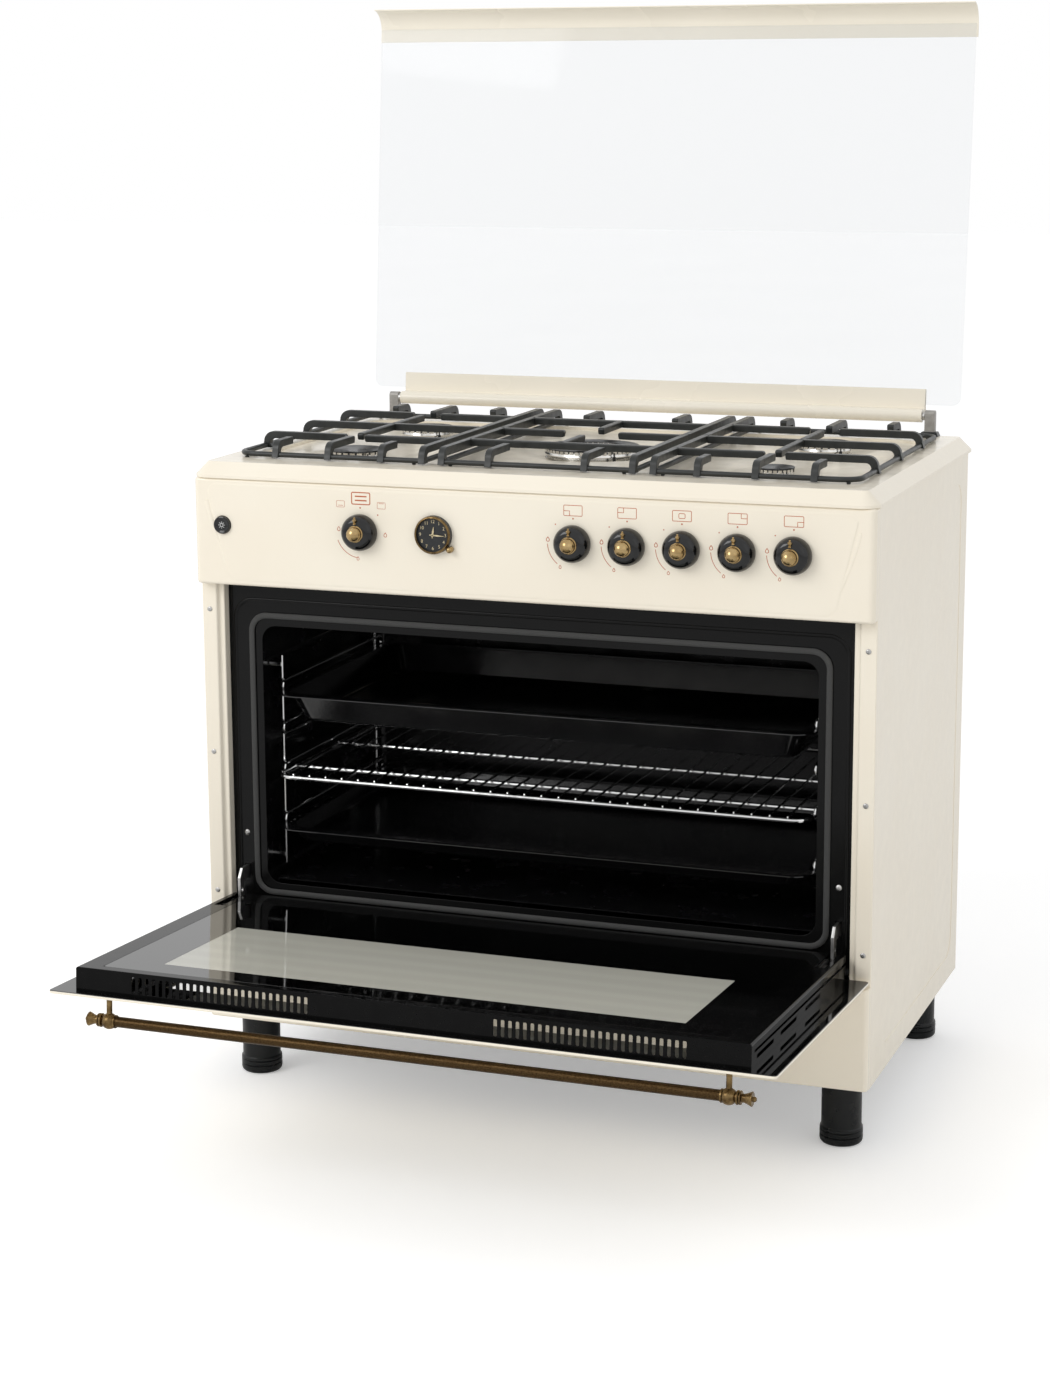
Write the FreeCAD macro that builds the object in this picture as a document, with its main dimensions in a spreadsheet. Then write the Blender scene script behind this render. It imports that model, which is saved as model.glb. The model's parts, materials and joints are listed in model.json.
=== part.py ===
# Free-standing gas range cooker: five burners under a glass lid, one large oven behind a drop-down door.
# The cooker stands on z = 0, its front faces -Y, and the door and the lid are modelled open.
import FreeCAD, Part
import math
import os
import re
import Sketcher
from FreeCAD import Placement, Rotation, Vector

SIZES = {
    # body
    "body_width": 900, "leg_height": 90, "panel_top": 819, "panel_bottom": 680, "plinth_top": 222,
    "front_y": -95.6, "body_setback": 17.5, "body_back": 536, "plinth_setback": 5.5, "sheet_wall": 1.2,
    "stile_width": 29, "stile_flat": 20, "stile_step": 5.5, "back_return": 20, "side_emboss": 0.5,
    "emboss_margin_y": 62, "emboss_margin_z": 34, "emboss_corner": 30,
    "panel_corner": 9, "panel_edge": 3, "panel_wall": 1.5, "panel_field": 1.0,
    # hob
    "hob_overhang": 2, "hob_rise": 20, "hob_front": -2, "hob_back": 566, "hob_corner": 22, "hob_bevel": 14,
    "hob_lip": 8, "hob_wall": 1.2, "well_depth": 7, "well_radius": 62, "ring_well_radius": 92,
    "field_depth": 4, "field_margin": 52,
    # burners
    "burner_x": "=support_outer - 132", "burner_front_y": 150, "burner_middle_y": 275, "burner_back_y": 400,
    "small_burner": 24, "medium_burner": 36, "ring_burner": 62, "crown_height": 7, "cap_thickness": 4,
    "bowl_height": 6,
    # pan supports
    "support_top": 22, "support_bar": 9, "support_rail": 7, "support_front": 57, "support_back": 508,
    "support_outer": "=body_width / 2 - 33", "support_gap": 18, "support_middle": 132, "support_corner": 26, "support_prong": 74,
    "support_pad": 1.5, "support_lift": 0.3,
    # lid
    "lid_axis_y": 545, "lid_axis_z": 866, "lid_angle": 95, "lid_half": "=body_width / 2 - 17", "lid_glass": 4, "lid_offset": 14,
    "lid_reach": 553, "lid_nose": 30, "lid_roll": 9, "lid_roll_half": "=lid_half - 49", "lid_strip": 36, "lid_pin": 4,
    "post_width": 14, "post_depth": 12, "post_head": 8, "post_gap": 4, "foot_depth": 17,
    # front frame, oven and door
    "frame_setback": 36.5, "frame_bottom": 228, "frame_top": 677, "opening_half": "=body_width / 2 - 76", "opening_bottom": 274,
    "opening_top": 622, "opening_corner": 20, "frame_wall": 1.5, "frame_emboss_half": "=opening_half + 38", "press_depth": 0.5,
    "liner_half": "=opening_half + 12", "liner_bottom": 266, "liner_top": 652, "liner_depth": 412, "liner_wall": 1.5,
    "gasket_half": "=opening_half + 14", "gasket_bottom": 262, "gasket_top": 636, "gasket_size": 8, "gasket_stand": 4.2,
    "gasket_corner": 26,
    "pivot_y": 14.2, "pivot_z": 243.2, "door_open": 86.5, "door_face": 15.7, "door_top": 433.3,
    "door_glass": 4, "door_half": "=body_width / 2 - door_gap", "door_gap": 1, "door_box_half": "=door_half - door_lip", "door_lip": 31.5, "door_box": 29.5, "door_box_top": 422,
    "door_box_wall": 1.5, "door_box_low": 5, "inner_glass_half": "=door_box_half - 29.5", "inner_glass_low": 40, "inner_glass_high": 408,
    "glass_rebate": 1,
    "vent_width": 4.5, "vent_height": 20, "vent_inner": 115, "vent_outer": "=door_box_half - 74.5", "vent_count": 26,
    "claw_x": "=door_box_half - 14.5", "claw_wall": 4, "claw_slot": 12, "claw_reach": 55,
    "handle_x": "=door_box_half - 31.5", "handle_height": 397.5, "handle_standoff": 36.3, "handle_radius": 6.5, "handle_ball": 10,
    "handle_post": 3.9, "finial_length": 22,
    # trays and ladders
    "tray_half": "=liner_half - 21", "tray_depth": 378, "tray_front": 38.5, "tray_rim": 14, "tray_wall": 1.2,
    "tray_corner": 26, "deep_tray": 38, "shallow_tray": 20, "top_level": 528, "rack_level": 416,
    "low_level": 347, "rung_radius": 2.5, "rung_gap": 16,
    "ladder_front": 82, "ladder_back": 392, "rack_wires": 30, "rack_rod": 3.2, "rack_wire": 1.5,
    "seat_gap": 0.3,
    # knobs, clock and button
    "knob_z": 759, "knob_first_x": "=body_width / 2 - 380", "knob_pitch": 70, "oven_knob_x": "=235 - body_width / 2", "knob_radius": 23.5,
    "knob_depth": 20, "knob_gap": 0.6, "knob_cap": 11, "spindle_radius": 3, "clock_x": "=oven_knob_x + 100.5", "clock_z": 761,
    "clock_radius": 24.4, "clock_depth": 9, "set_x": "=clock_x + 23", "set_z": 743.5, "button_x": "=41.5 - body_width / 2",
    "button_radius": 11.5, "button_travel": 3,
    # legs
    "leg_x": "=body_width / 2 - 46", "leg_front_y": 66.5, "leg_back_y": 496, "leg_radius": 25.5, "foot_radius": 27.5,
    "foot_height": 22, "inlet_x": "=body_width / 2 - 60", "inlet_z": 764, "inlet_radius": 10.5, "inlet_length": 22,
}

doc = FreeCAD.newDocument("RangeCooker")
sheet = doc.addObject("Spreadsheet::Sheet", "Sizes")
for row, alias in enumerate(SIZES, start=1):
    sheet.set("A%d" % row, alias.replace("_", " "))
    sheet.setAlias("B%d" % row, alias)
for row, number in enumerate(SIZES.values(), start=1):
    sheet.set("B%d" % row, str(number))
doc.recompute()

PARTS = []
X_AXIS = Vector(1, 0, 0)
Y_AXIS = Vector(0, 1, 0)
Z_AXIS = Vector(0, 0, 1)


def size(alias):
    """The number in the sheet's cell of that name."""
    return float(sheet.get(alias))


def bound(text):
    """An expression in which each size is read from the sheet."""
    return re.sub(r"\b([a-z]+(?:_[a-z]+)+)\b", r"Sizes.\1", str(text))


def keep(node, thing):
    """Register a finished sub-part under its own label."""
    thing.Label = node
    PARTS.append(thing)
    return thing


def seat(thing, place, axis=None, angle=None):
    """Bind the place of an object, and its turn about one axis."""
    if axis is not None:
        thing.Placement = Placement(Vector(), Rotation(axis, 10))
        thing.setExpression("Placement.Rotation.Angle", bound(angle))
    for name, text in zip("xyz", place):
        thing.setExpression("Placement.Base." + name, bound(text))
    return thing


def block(name, low, span):
    """A box from its lowest corner and its three lengths."""
    box = doc.addObject("Part::Box", name)
    for prop, text in zip(("Length", "Width", "Height"), span):
        box.setExpression(prop, bound(text))
    return seat(box, low)


def rod(name, centre, radius, length, axis="z"):
    """A cylinder that starts at centre and runs along +x, +y or +z."""
    bar = doc.addObject("Part::Cylinder", name)
    bar.setExpression("Radius", bound(radius))
    bar.setExpression("Height", bound(length))
    if axis == "x":
        return seat(bar, centre, Y_AXIS, "90")
    if axis == "y":
        return seat(bar, centre, X_AXIS, "-90")
    return seat(bar, centre)


def cone(name, centre, radius, top_radius, length, axis="z"):
    """A cone frustum that starts at centre and runs along +x, +y or +z."""
    taper = doc.addObject("Part::Cone", name)
    taper.setExpression("Radius1", bound(radius))
    taper.setExpression("Radius2", bound(top_radius))
    taper.setExpression("Height", bound(length))
    if axis == "x":
        return seat(taper, centre, Y_AXIS, "90")
    if axis == "y":
        return seat(taper, centre, X_AXIS, "-90")
    return seat(taper, centre)


def prism(name, centre, radius, length, axis="z", sides=12):
    """A many-sided rod that starts at centre and runs along +x, +y or +z; radius reaches its corners."""
    bar = doc.addObject("Part::Prism", name)
    bar.Polygon = sides
    bar.setExpression("Circumradius", bound(radius))
    bar.setExpression("Height", bound(length))
    if axis == "x":
        return seat(bar, centre, Y_AXIS, "90")
    if axis == "y":
        return seat(bar, centre, X_AXIS, "-90")
    return seat(bar, centre)


def fuse(name, pieces):
    """The union of several objects."""
    union = doc.addObject("Part::MultiFuse", name)
    union.Shapes = pieces
    return union


def cut(name, base, tools):
    """The base less the tools."""
    result = doc.addObject("Part::Cut", name)
    result.Base = base
    result.Tool = tools[0] if len(tools) == 1 else fuse(name + "_tools", tools)
    return result


def group(name, pieces):
    """Separate solids that share one sub-part."""
    bundle = doc.addObject("Part::Compound", name)
    bundle.Links = pieces
    return bundle


def rounded(name, base, radius, wanted):
    """The base with the edges that wanted picks rounded."""
    doc.recompute()
    edges = [i for i, edge in enumerate(base.Shape.Edges, start=1) if wanted(edge)]
    result = doc.addObject("Part::Fillet", name)
    result.Base = base
    result.Edges = [(i, radius, radius) for i in edges]
    return result


def along(edge, axis):
    """True for a straight edge parallel to the axis."""
    if not isinstance(edge.Curve, Part.Line):
        return False
    return abs(abs(edge.Curve.Direction.dot(axis)) - 1) < 1e-6


def outline(body, plane, points):
    """A closed polygon sketch whose corners are all bound, in order, to the sheet."""
    sketch = body.newObject("Sketcher::SketchObject", body.Name + "_outline")
    role = [part for part in body.Origin.OriginFeatures if part.Role == plane][0]
    sketch.AttachmentSupport = (role, [""])
    sketch.MapMode = "FlatFace"
    count = len(points)
    ring = [Vector(math.cos(2 * math.pi * i / count), math.sin(2 * math.pi * i / count), 0) * 100
            for i in range(count)]
    for i in range(count):
        sketch.addGeometry(Part.LineSegment(ring[i], ring[(i + 1) % count]))
    for i in range(count):
        sketch.addConstraint(Sketcher.Constraint("Coincident", i, 2, (i + 1) % count, 1))
    for i, corner in enumerate(points):
        for kind, text, start in zip(("DistanceX", "DistanceY"), corner, (ring[i].x, ring[i].y)):
            index = sketch.addConstraint(Sketcher.Constraint(kind, -1, 1, i, 1, start))
            sketch.setExpression("Constraints[%d]" % index, bound(text))
    return sketch


def extruded(name, plane, points, length, start="0", reverse=False):
    """A body padded from a polygon; start moves it along the plane's normal."""
    body = doc.addObject("PartDesign::Body", name)
    sketch = outline(body, plane, points)
    sketch.setExpression("AttachmentOffset.Base.z", bound(start))
    pad = body.newObject("PartDesign::Pad", name + "_pad")
    pad.Profile = sketch
    pad.Reversed = reverse
    pad.setExpression("Length", bound(length))
    return body


def square_along(path, radius):
    """A square bar swept along a level path."""
    first = path.OrderedEdges[0]
    begin = first.valueAt(first.FirstParameter)
    across = first.tangentAt(first.FirstParameter).cross(Z_AXIS)
    corners = [begin + across * radius * a + Z_AXIS * radius * b
               for a, b in ((-1, -0.5), (-0.5, -1), (0.5, -1), (1, -0.5), (1, 0.5), (0.5, 1), (-0.5, 1), (-1, 0.5))]
    return path.makePipeShell([Part.makePolygon(corners + corners[:1])], True, False)


def feature(name, shape):
    """A sub-part whose shape comes from the functions above."""
    thing = doc.addObject("Part::Feature", name)
    thing.Shape = shape
    return thing


def faceted(profile, sides=24):
    """Flat facets about Z through (radius, height) corners that start and end on the axis."""
    rings = []
    for radius, height in profile:
        rings.append([Vector(radius * math.cos(2 * math.pi * i / sides),
                             radius * math.sin(2 * math.pi * i / sides), height) for i in range(sides)])
    faces = []
    for low, high in zip(rings, rings[1:]):
        for i in range(sides):
            ring = []
            for corner in (low[i], low[(i + 1) % sides], high[(i + 1) % sides], high[i]):
                if not ring or (corner - ring[-1]).Length > 1e-6:
                    ring.append(corner)
            if (ring[0] - ring[-1]).Length < 1e-6:
                ring.pop()
            faces.append(Part.Face(Part.makePolygon(ring + ring[:1])))
    solid = Part.Solid(Part.Shell(faces))
    if solid.Volume < 0:
        solid.reverse()
    return solid.removeSplitter()


def turned_facets(name, profile, place, sides=24):
    """A faceted turning whose axis points out of the front."""
    form = feature(name + "_form", faceted(profile, sides))
    holder = group(name + "_hold", [form])
    return seat(holder, place, X_AXIS, "90")


FRONT = size("front_y")


def depth(offset):
    """A y value, as an expression, counted back from the control panel's face."""
    return "front_y + (%s)" % offset


# ---------------------------------------------------------------- body panels

def side_panel(side):
    """A folded side: stepped front stile, flat skin with a pressed field, and a rear return."""
    name = "side_panel_left" if side < 0 else "side_panel_right"
    s = "%d * " % side
    edge = "body_width / 2"
    front = depth("body_setback")
    step = depth("body_setback + stile_step")
    back = depth("body_back")
    lip = depth("frame_setback - seat_gap")
    path = [
        (s + "(body_width / 2 - back_return)", back), (s + edge, back), (s + edge, front),
        (s + "(body_width / 2 - stile_flat)", front), (s + "(body_width / 2 - stile_flat - 3)", step),
        (s + "(body_width / 2 - stile_width)", step), (s + "(body_width / 2 - stile_width)", lip),
        (s + "(body_width / 2 - stile_width + sheet_wall)", lip),
        (s + "(body_width / 2 - stile_width + sheet_wall)", step + " + sheet_wall"),
        (s + "(body_width / 2 - stile_flat - 3 + sheet_wall * 0.6)", step + " + sheet_wall"),
        (s + "(body_width / 2 - stile_flat + sheet_wall * 0.6)", front + " + sheet_wall"),
        (s + "(body_width / 2 - sheet_wall)", front + " + sheet_wall"),
        (s + "(body_width / 2 - sheet_wall)", back + " - sheet_wall"),
        (s + "(body_width / 2 - back_return)", back + " - sheet_wall"),
    ]
    folded = extruded(name + "_fold", "XY_Plane", path, "panel_top - leg_height", "leg_height")
    low_x = "body_width / 2 - side_emboss" if side > 0 else "-body_width / 2 - 1"
    field = block(name + "_field", (low_x, depth("body_setback + emboss_margin_y"),
                                    "leg_height + emboss_margin_z"),
                  ("side_emboss + 1", "body_back - body_setback - emboss_margin_y * 1.6",
                   "panel_top - leg_height - emboss_margin_z * 2"))
    field = rounded(name + "_corners", field, size("emboss_corner"), lambda e: along(e, X_AXIS))
    keep(name, cut(name, folded, [field]))


def sheet_panels():
    """Back panel, base pan and plinth."""
    inner = "body_width / 2 - sheet_wall"
    back = block("back_sheet", ("-(%s) + seat_gap" % inner, depth("body_back - sheet_wall * 2"), "leg_height"),
                 ("(%s) * 2 - seat_gap * 2" % inner, "sheet_wall", "panel_top - leg_height"))
    slots = []
    for i in range(9):
        slots.append(block("flue_slot", ("%d * 46 - 20" % (i - 4), depth("body_back - sheet_wall * 3"),
                                         "panel_top - 70"), ("40", "sheet_wall * 3", "6")))
    inlet = prism("inlet_hole", ("inlet_x", depth("body_back - sheet_wall * 3"), "inlet_z"),
                  "inlet_radius + 1", "sheet_wall * 3", "y")
    keep("back_panel", cut("back_panel", back, slots + [inlet]))

    floor = block("base_floor", ("-(%s) + seat_gap" % inner, depth("plinth_setback + sheet_wall * 2"), "leg_height"),
                  ("(%s) * 2 - seat_gap * 2" % inner,
                   "body_back - plinth_setback - sheet_wall * 4 - seat_gap", "18"))
    hollow = block("base_hollow", ("-(%s) + seat_gap + sheet_wall" % inner,
                                   depth("plinth_setback + sheet_wall * 3"), "leg_height + sheet_wall"),
                   ("(%s) * 2 - seat_gap * 2 - sheet_wall * 2" % inner,
                    "body_back - plinth_setback - sheet_wall * 6 - seat_gap", "18"))
    corner = block("base_corner", ("-body_width / 2", depth("0"), "leg_height - 1"),
                   ("stile_width + 2", "frame_setback + 1", "20"))
    corner_right = block("base_corner_right", ("body_width / 2 - stile_width - 2", depth("0"), "leg_height - 1"),
                         ("stile_width + 2", "frame_setback + 1", "20"))
    keep("base_pan", cut("base_pan", floor, [hollow, corner, corner_right]))

    skirt = block("plinth_skirt", ("-body_width / 2", depth("plinth_setback"), "leg_height"),
                  ("body_width", "body_setback - plinth_setback - seat_gap", "plinth_top - leg_height"))
    skirt = rounded("plinth_round", skirt, size("panel_edge"),
                    lambda e: along(e, Z_AXIS) and e.CenterOfMass.y < FRONT + size("plinth_setback") + 1)
    room = block("plinth_room", ("-body_width / 2 + panel_wall * 2", depth("plinth_setback + sheet_wall"),
                                 "leg_height - 1"),
                 ("body_width - panel_wall * 4", "body_setback", "plinth_top - leg_height - sheet_wall + 1"))
    keep("plinth_panel", cut("plinth_panel", skirt, [room]))


def control_panel():
    """The pressed fascia with its raised field, and holes for the knobs, the clock and the button."""
    tall = "panel_top - panel_bottom"
    shell = block("fascia_block", ("-body_width / 2", depth("0"), "panel_bottom"),
                  ("body_width", "body_setback - seat_gap", tall))
    shell = rounded("fascia_ends", shell, size("panel_corner"),
                    lambda e: along(e, Z_AXIS) and e.CenterOfMass.y < FRONT + 1)
    doc.recompute()
    edges = [i for i, e in enumerate(shell.Shape.Edges, start=1)
             if e.BoundBox.ZLength < 1e-4 and e.BoundBox.YMin < FRONT + 1e-4]
    bevel = doc.addObject("Part::Chamfer", "fascia_bevel")
    bevel.Base = shell
    bevel.Edges = [(i, size("panel_edge"), size("panel_edge")) for i in edges]
    shell = bevel
    room = block("fascia_room", ("-body_width / 2 + panel_wall * 2", depth("panel_wall"), "panel_bottom + panel_wall"),
                 ("body_width - panel_wall * 4", "body_setback", tall + " - panel_wall * 2"))
    room = rounded("fascia_room_ends", room, size("panel_corner") - size("panel_wall"),
                   lambda e: along(e, Z_AXIS) and e.CenterOfMass.y < FRONT + size("panel_wall") + 1)
    field = extruded("fascia_field", "XZ_Plane", [
        ("-body_width / 2 + 47", "panel_bottom + 14"), ("body_width / 2 - 47", "panel_bottom + 14"),
        ("body_width / 2 - 19", "panel_top - 22"), ("-body_width / 2 + 19", "panel_top - 22"),
    ], "panel_field + 1", "-front_y - 1")
    shell = cut("fascia_shell", fuse("fascia_body", [shell, field]), [room])
    holes = []
    for x in ["oven_knob_x"] + ["knob_first_x + %d * knob_pitch" % i for i in range(5)]:
        holes.append(prism("spindle_hole", (x, depth("-3"), "knob_z"), "spindle_radius + 1", "12", "y"))
    holes.append(prism("set_hole", ("set_x", depth("-3"), "set_z"), "3", "12", "y"))
    holes.append(prism("button_hole", ("button_x", depth("-3"), "knob_z"), "button_radius + seat_gap * 2", "12",
                       "y", 24))
    keep("control_panel", cut("control_panel", shell, holes))


# ---------------------------------------------------------------- hob

BURNERS = [
    ("burner_x * -1", "burner_front_y", "medium_burner", "well_radius"),
    ("burner_x", "burner_front_y", "small_burner", "well_radius"),
    ("burner_x * -1", "burner_back_y", "medium_burner", "well_radius"),
    ("burner_x", "burner_back_y", "medium_burner", "well_radius"),
    ("0", "burner_middle_y", "ring_burner", "ring_well_radius"),
]


def hob_plate():
    """The pressed hob: a bevelled rim, a sunk field, and a round well under each burner."""
    half = "body_width / 2 + hob_overhang"
    front = depth("hob_front")
    long_y = "hob_back - hob_front"
    lower = block("hob_lip", ("-(%s)" % half, front, "panel_top + seat_gap"),
                  ("(%s) * 2" % half, long_y, "hob_rise - seat_gap"))
    lower = rounded("hob_round", lower, size("hob_corner"), lambda e: along(e, Z_AXIS))
    doc.recompute()
    top = size("panel_top") + size("hob_rise")
    edges = [i for i, e in enumerate(lower.Shape.Edges, start=1)
             if abs(e.BoundBox.ZMin - top) < 1e-4 and abs(e.BoundBox.ZMax - top) < 1e-4]
    bevel = doc.addObject("Part::Chamfer", "hob_bevel_cut")
    bevel.Base = lower
    drop = size("hob_rise") - size("hob_lip")
    bevel.Edges = [(i, size("hob_bevel"), drop) for i in edges]
    doc.recompute()
    flat = bevel.Shape.BoundBox
    if abs([f for f in bevel.Shape.Faces if abs(f.CenterOfMass.z - top) < 1e-4][0].BoundBox.XLength
           - (flat.XLength - 2 * size("hob_bevel"))) > 0.1:
        bevel.Edges = [(i, drop, size("hob_bevel")) for i in edges]
        doc.recompute()
    under = block("hob_under", ("-(%s) + hob_bevel" % half, front + " + hob_bevel", "panel_top"),
                  ("(%s) * 2 - hob_bevel * 2" % half, long_y + " - hob_bevel * 2",
                   "hob_rise - field_depth - well_depth - hob_wall"))
    under = rounded("hob_under_round", under, size("hob_corner") / 2, lambda e: along(e, Z_AXIS))
    sunk = block("hob_sunk", ("-(%s) + field_margin" % half, front + " + field_margin + 26",
                              "panel_top + hob_rise - field_depth"),
                 ("(%s) * 2 - field_margin * 2" % half, long_y + " - field_margin * 2 - 46", "field_depth + 1"))
    sunk = rounded("hob_sunk_round", sunk, size("hob_corner") * 2, lambda e: along(e, Z_AXIS))
    wells = [sunk]
    for x, y, burner, radius in BURNERS:
        well = cone("hob_well", (x, depth(y), "panel_top + hob_rise - field_depth - well_depth"),
                    radius + " - well_depth", radius, "well_depth + 0.01")
        wells.append(well)
    keep("hob_plate", cut("hob_plate", cut("hob_top", bevel, [under]), wells))


def toothed(radius, depth_in, low, height, teeth):
    """A disc whose rim has square teeth, the flame ports between them."""
    corners = []
    for i in range(teeth):
        for share, reach in ((0.0, radius), (0.62, radius), (0.68, radius - depth_in), (0.94, radius - depth_in)):
            angle = 2 * math.pi * (i + share) / teeth
            corners.append(Vector(reach * math.cos(angle), reach * math.sin(angle), low))
    return Part.Face(Part.makePolygon(corners + corners[:1])).extrude(Vector(0, 0, height))


def burner_parts():
    """Bowls, toothed crowns and caps of the five burners, seated one on the other in their wells."""
    bowls = []
    crowns = []
    caps = []
    base = "panel_top + hob_rise - field_depth - well_depth"
    for i, (x, y, burner, radius) in enumerate(BURNERS):
        reach = size(burner)
        bowl = size("bowl_height")
        crown = size("crown_height")
        cap = size("cap_thickness")
        place = (x, depth(y), base)
        bowls.append(seat(feature("bowl", faceted([(0, 0), (reach * 0.85, 0), (reach, bowl), (0, bowl)])), place))
        teeth = toothed(reach * 1.02, reach * 0.12, bowl, crown, 12 if i < 4 else 20)
        crowns.append(seat(feature("crown", teeth), place))
        lid_low = bowl + crown
        disc = faceted([(0, lid_low), (reach * 1.05, lid_low), (reach * 0.96, lid_low + cap), (0, lid_low + cap)])
        caps.append(seat(feature("cap", disc), place))
    keep("burner_bowls", group("burner_bowls", bowls))
    keep("burner_crowns", group("burner_crowns", crowns))
    keep("burner_caps", group("burner_caps", caps))


# ---------------------------------------------------------------- cast pan supports

def finger(start, toward, length, foot=True):
    """A cast bar that rises from the frame, rounds over and runs inwards to a blunt tip."""
    bar = size("support_bar")
    high = size("support_top")
    deep = bar * 1.05
    bend = bar
    if foot:
        side = [(0, 0), (0, high - bend), (bend, high), (length, high), (length - 2, high - deep),
                (bend + 2, high - deep), (bar, high - bend - 3), (bar, 0)]
    else:
        side = [(0, high - deep), (0, high), (length, high), (length - 2, high - deep)]
    corners = [Vector(u, 0, v) for u, v in side]
    face = Part.Face(Part.makePolygon(corners + corners[:1]))
    solid = face.extrude(Vector(0, bar * 0.9, 0))
    solid.translate(Vector(0, -bar * 0.45, 0))
    angle = math.degrees(math.atan2(toward[1], toward[0]))
    solid.rotate(Vector(), Z_AXIS, angle)
    solid.translate(Vector(start[0], start[1], 0))
    return solid


def support_frame(low_x, high_x, corners):
    """The thin cast border; corners lists which of its four corners are rounded."""
    low_y = size("support_front")
    high_y = size("support_back")
    rail = size("support_rail")
    radius = size("support_corner")
    outer = Part.makeBox(high_x - low_x, high_y - low_y, rail, Vector(low_x, low_y, 0))
    inner = Part.makeBox(high_x - low_x - 2 * rail, high_y - low_y - 2 * rail, rail + 2,
                         Vector(low_x + rail, low_y + rail, -1))

    def shaped(solid, bend):
        picked = [e for e in solid.Edges if along(e, Z_AXIS)
                  and (("left" in corners and e.CenterOfMass.x < (low_x + high_x) / 2)
                       or ("right" in corners and e.CenterOfMass.x > (low_x + high_x) / 2))]
        return solid.makeFillet(bend, picked) if picked else solid

    return shaped(outer, radius).cut(shaped(inner, radius - rail))


def side_support(side):
    """A two-burner pan support: a star of fingers over each burner and a tall inner rail."""
    name = "pan_support_left" if side < 0 else "pan_support_right"
    outer = size("support_outer")
    inner = size("support_middle") + size("support_gap")
    front = size("support_front")
    back = size("support_back")
    middle = size("burner_middle_y")
    burner = size("burner_x")
    bar = size("support_bar")
    rough = [support_frame(inner, outer, ["right"])]
    rough.append(finger((inner + bar / 2, front), (0, 1), (back - front) / 2 + 1))
    rough.append(finger((inner + bar / 2, back), (0, -1), (back - front) / 2 + 1))
    for y, reach in ((size("burner_front_y"), size("small_burner")), (size("burner_back_y"), size("medium_burner"))):
        rough.append(finger((outer, y), (-1, 0), outer - burner - reach * 0.55))
        rough.append(finger((inner + bar / 2, y), (1, 0), burner - inner - bar / 2 - reach * 0.55, foot=False))
    rough.append(finger((outer, middle), (-1, 0), outer - inner - bar))
    rough.append(finger((burner, front), (0, 1), size("burner_front_y") - front - size("small_burner") * 0.55))
    rough.append(finger((burner, back), (0, -1), back - size("burner_back_y") - size("medium_burner") * 0.55))
    rough.append(finger((burner, middle), (0, -1), middle - size("burner_front_y") - size("small_burner") * 0.55,
                        foot=False))
    rough.append(finger((burner, middle), (0, 1), size("burner_back_y") - middle - size("medium_burner") * 0.55,
                        foot=False))
    for x in (burner - size("support_prong"), burner + size("support_prong")):
        rough.append(finger((x, front), (0, 1), 48))
        rough.append(finger((x, back), (0, -1), 48))
    solid = rough[0].multiFuse(rough[1:]).removeSplitter()
    if side < 0:
        solid = solid.mirror(Vector(), X_AXIS)
    return name, solid


def middle_support():
    """The pan support over the ring burner: two tall rails, two cross bars and short fingers."""
    half = size("support_middle")
    front = size("support_front")
    back = size("support_back")
    middle = size("burner_middle_y")
    ring = size("ring_burner")
    bar = size("support_bar")
    rough = [support_frame(-half, half, [])]
    for sign in (-1, 1):
        x = sign * (half - bar / 2)
        rough.append(finger((x, front), (0, 1), (back - front) / 2 + 1))
        rough.append(finger((x, back), (0, -1), (back - front) / 2 + 1))
        rough.append(finger((x, middle), (-sign, 0), half - bar / 2 - ring * 0.6, foot=False))
        for y, turn in ((front, 1), (back, -1)):
            rough.append(finger((sign * 64, y), (0, turn), 70))
        rough.append(finger((0, middle + sign * (ring + 62)), (0, -sign), 62 + ring * 0.4, foot=False))
        across = finger((-half + bar / 2, middle + sign * (ring + 58)), (1, 0), half * 2 - bar, foot=False)
        rough.append(across)
    return "pan_support_middle", rough[0].multiFuse(rough[1:]).removeSplitter()


def pan_supports():
    """Three lift-off castings, each on small pads."""
    level = size("panel_top") + size("hob_rise") + size("support_pad") + size("support_lift")
    for name, solid in (side_support(-1), middle_support(), side_support(1)):
        box = solid.BoundBox
        pads = []
        for x in (box.XMin + 16, box.XMax - 16):
            for y in (box.YMin + size("support_rail") / 2, box.YMax - size("support_rail") / 2):
                pads.append(Part.makeBox(5, 5, size("support_pad") + 0.5,
                                         Vector(x - 2.5, y - 2.5, -size("support_pad"))))
        thing = feature(name, solid.multiFuse(pads))
        thing.Placement = Placement(Vector(0, FRONT, level), Rotation())
        keep(name, thing)


# ---------------------------------------------------------------- lid

def lid_seat(thing):
    """Turn a lid piece, drawn closed about the hinge axis, to its open place."""
    return seat(thing, ("0", depth("lid_axis_y"), "lid_axis_z"), X_AXIS, "-lid_angle")


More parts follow.
